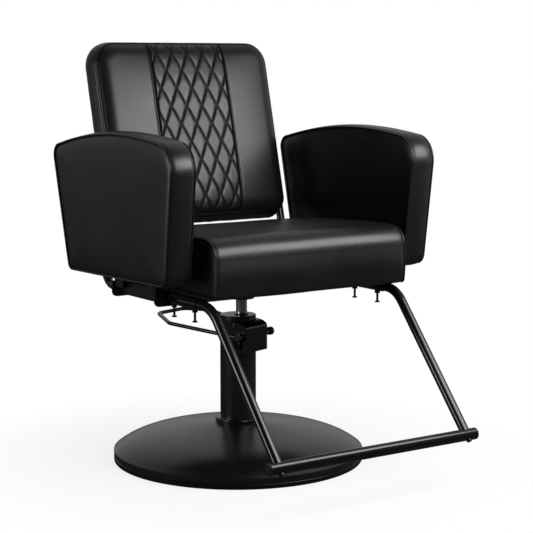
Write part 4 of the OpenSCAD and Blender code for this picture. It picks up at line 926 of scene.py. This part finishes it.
def buildRearPanel():
    r = rearPanelSize
    bm = bmesh.new()
    loop = roundedLoop(backSize["half"] - r["inside"], backSize["length"] / 2 - r["inside"],
                       (r["corner"], r["corner"]), 0, 180)
    face = bm.faces.new([bm.verts.new((p.x, backSize["deep"] - r["sunk"], p.y)) for p in loop])
    raised = bmesh.ops.extrude_face_region(bm, geom=[face], use_keep_orig=True)["geom"]
    grown = [g for g in raised if isinstance(g, bmesh.types.BMFace)][0]
    bmesh.ops.translate(bm, vec=(0, r["thick"], 0), verts=grown.verts)
    for inset, rise in r["welts"]:
        bmesh.ops.inset_region(bm, faces=[grown], thickness=inset, use_even_offset=True)
        bmesh.ops.translate(bm, vec=(0, rise, 0), verts=grown.verts)
    bmesh.ops.transform(bm, matrix=backPlace, verts=bm.verts)
    return bm


rearPanel = addPiece("backRearPanel", buildRearPanel(), leather, "seat", ["back_board"])
rearPanel.data.set_sharp_from_angle(angle=math.radians(40))
print("back is built")

# Floor
floorSet = {"radius": 30, "below": 0.0003, "seen": (0.86, 0.86, 0.86), "other": (0.08, 0.08, 0.08), "nearGlow": 0.8,
            "nearRadius": 0.3, "farRadius": 0.75}
floorMesh = bpy.data.meshes.new("floor")
floorBuild = bmesh.new()
bmesh.ops.create_circle(floorBuild, cap_ends=True, segments=96, radius=floorSet["radius"])
floorBuild.to_mesh(floorMesh)
floorBuild.free()
floor = bpy.data.objects.new("floor", floorMesh)
floor.location = (0, 0, -floorSet["below"])
scene.collection.objects.link(floor)
# the camera sees a floor that fades to white; reflections see a dark one, so that it doesn't grey the leather
floorMaterial, floorTree, floorShader = newMaterial("paleFloor", floorSet["seen"], 0.9, specular=0.0)
floorPath = addNode(floorTree, "ShaderNodeLightPath")
floorTree.links.new(colourBetween(floorTree, floorPath.outputs["Is Camera Ray"], floorSet["other"], floorSet["seen"]),
                    floorShader.inputs["Base Color"])
floorGlow = addNode(floorTree, "ShaderNodeEmission", None, {"Color": (1, 1, 1, 1), "Strength": 1.0})
floorMix = addNode(floorTree, "ShaderNodeMixShader")
floorWay = addNode(floorTree, "ShaderNodeVectorMath", {"operation": "LENGTH"})
floorTree.links.new(objectVector(floorTree), floorWay.inputs[0])
floorFar = rampNode(floorTree, floorWay.outputs["Value"], floorSet["nearRadius"], floorSet["farRadius"],
                    floorSet["nearGlow"], 1.0)
shown = mathNode(floorTree, "MULTIPLY", floorPath.outputs["Is Camera Ray"], floorFar)
floorTree.links.new(shown, floorMix.inputs[0])
floorTree.links.new(floorShader.outputs[0], floorMix.inputs[1])
floorTree.links.new(floorGlow.outputs[0], floorMix.inputs[2])
floorTree.links.new(floorMix.outputs[0], floorTree.nodes["Material Output"].inputs["Surface"])
floorMesh.materials.append(floorMaterial)
print("floor is set")
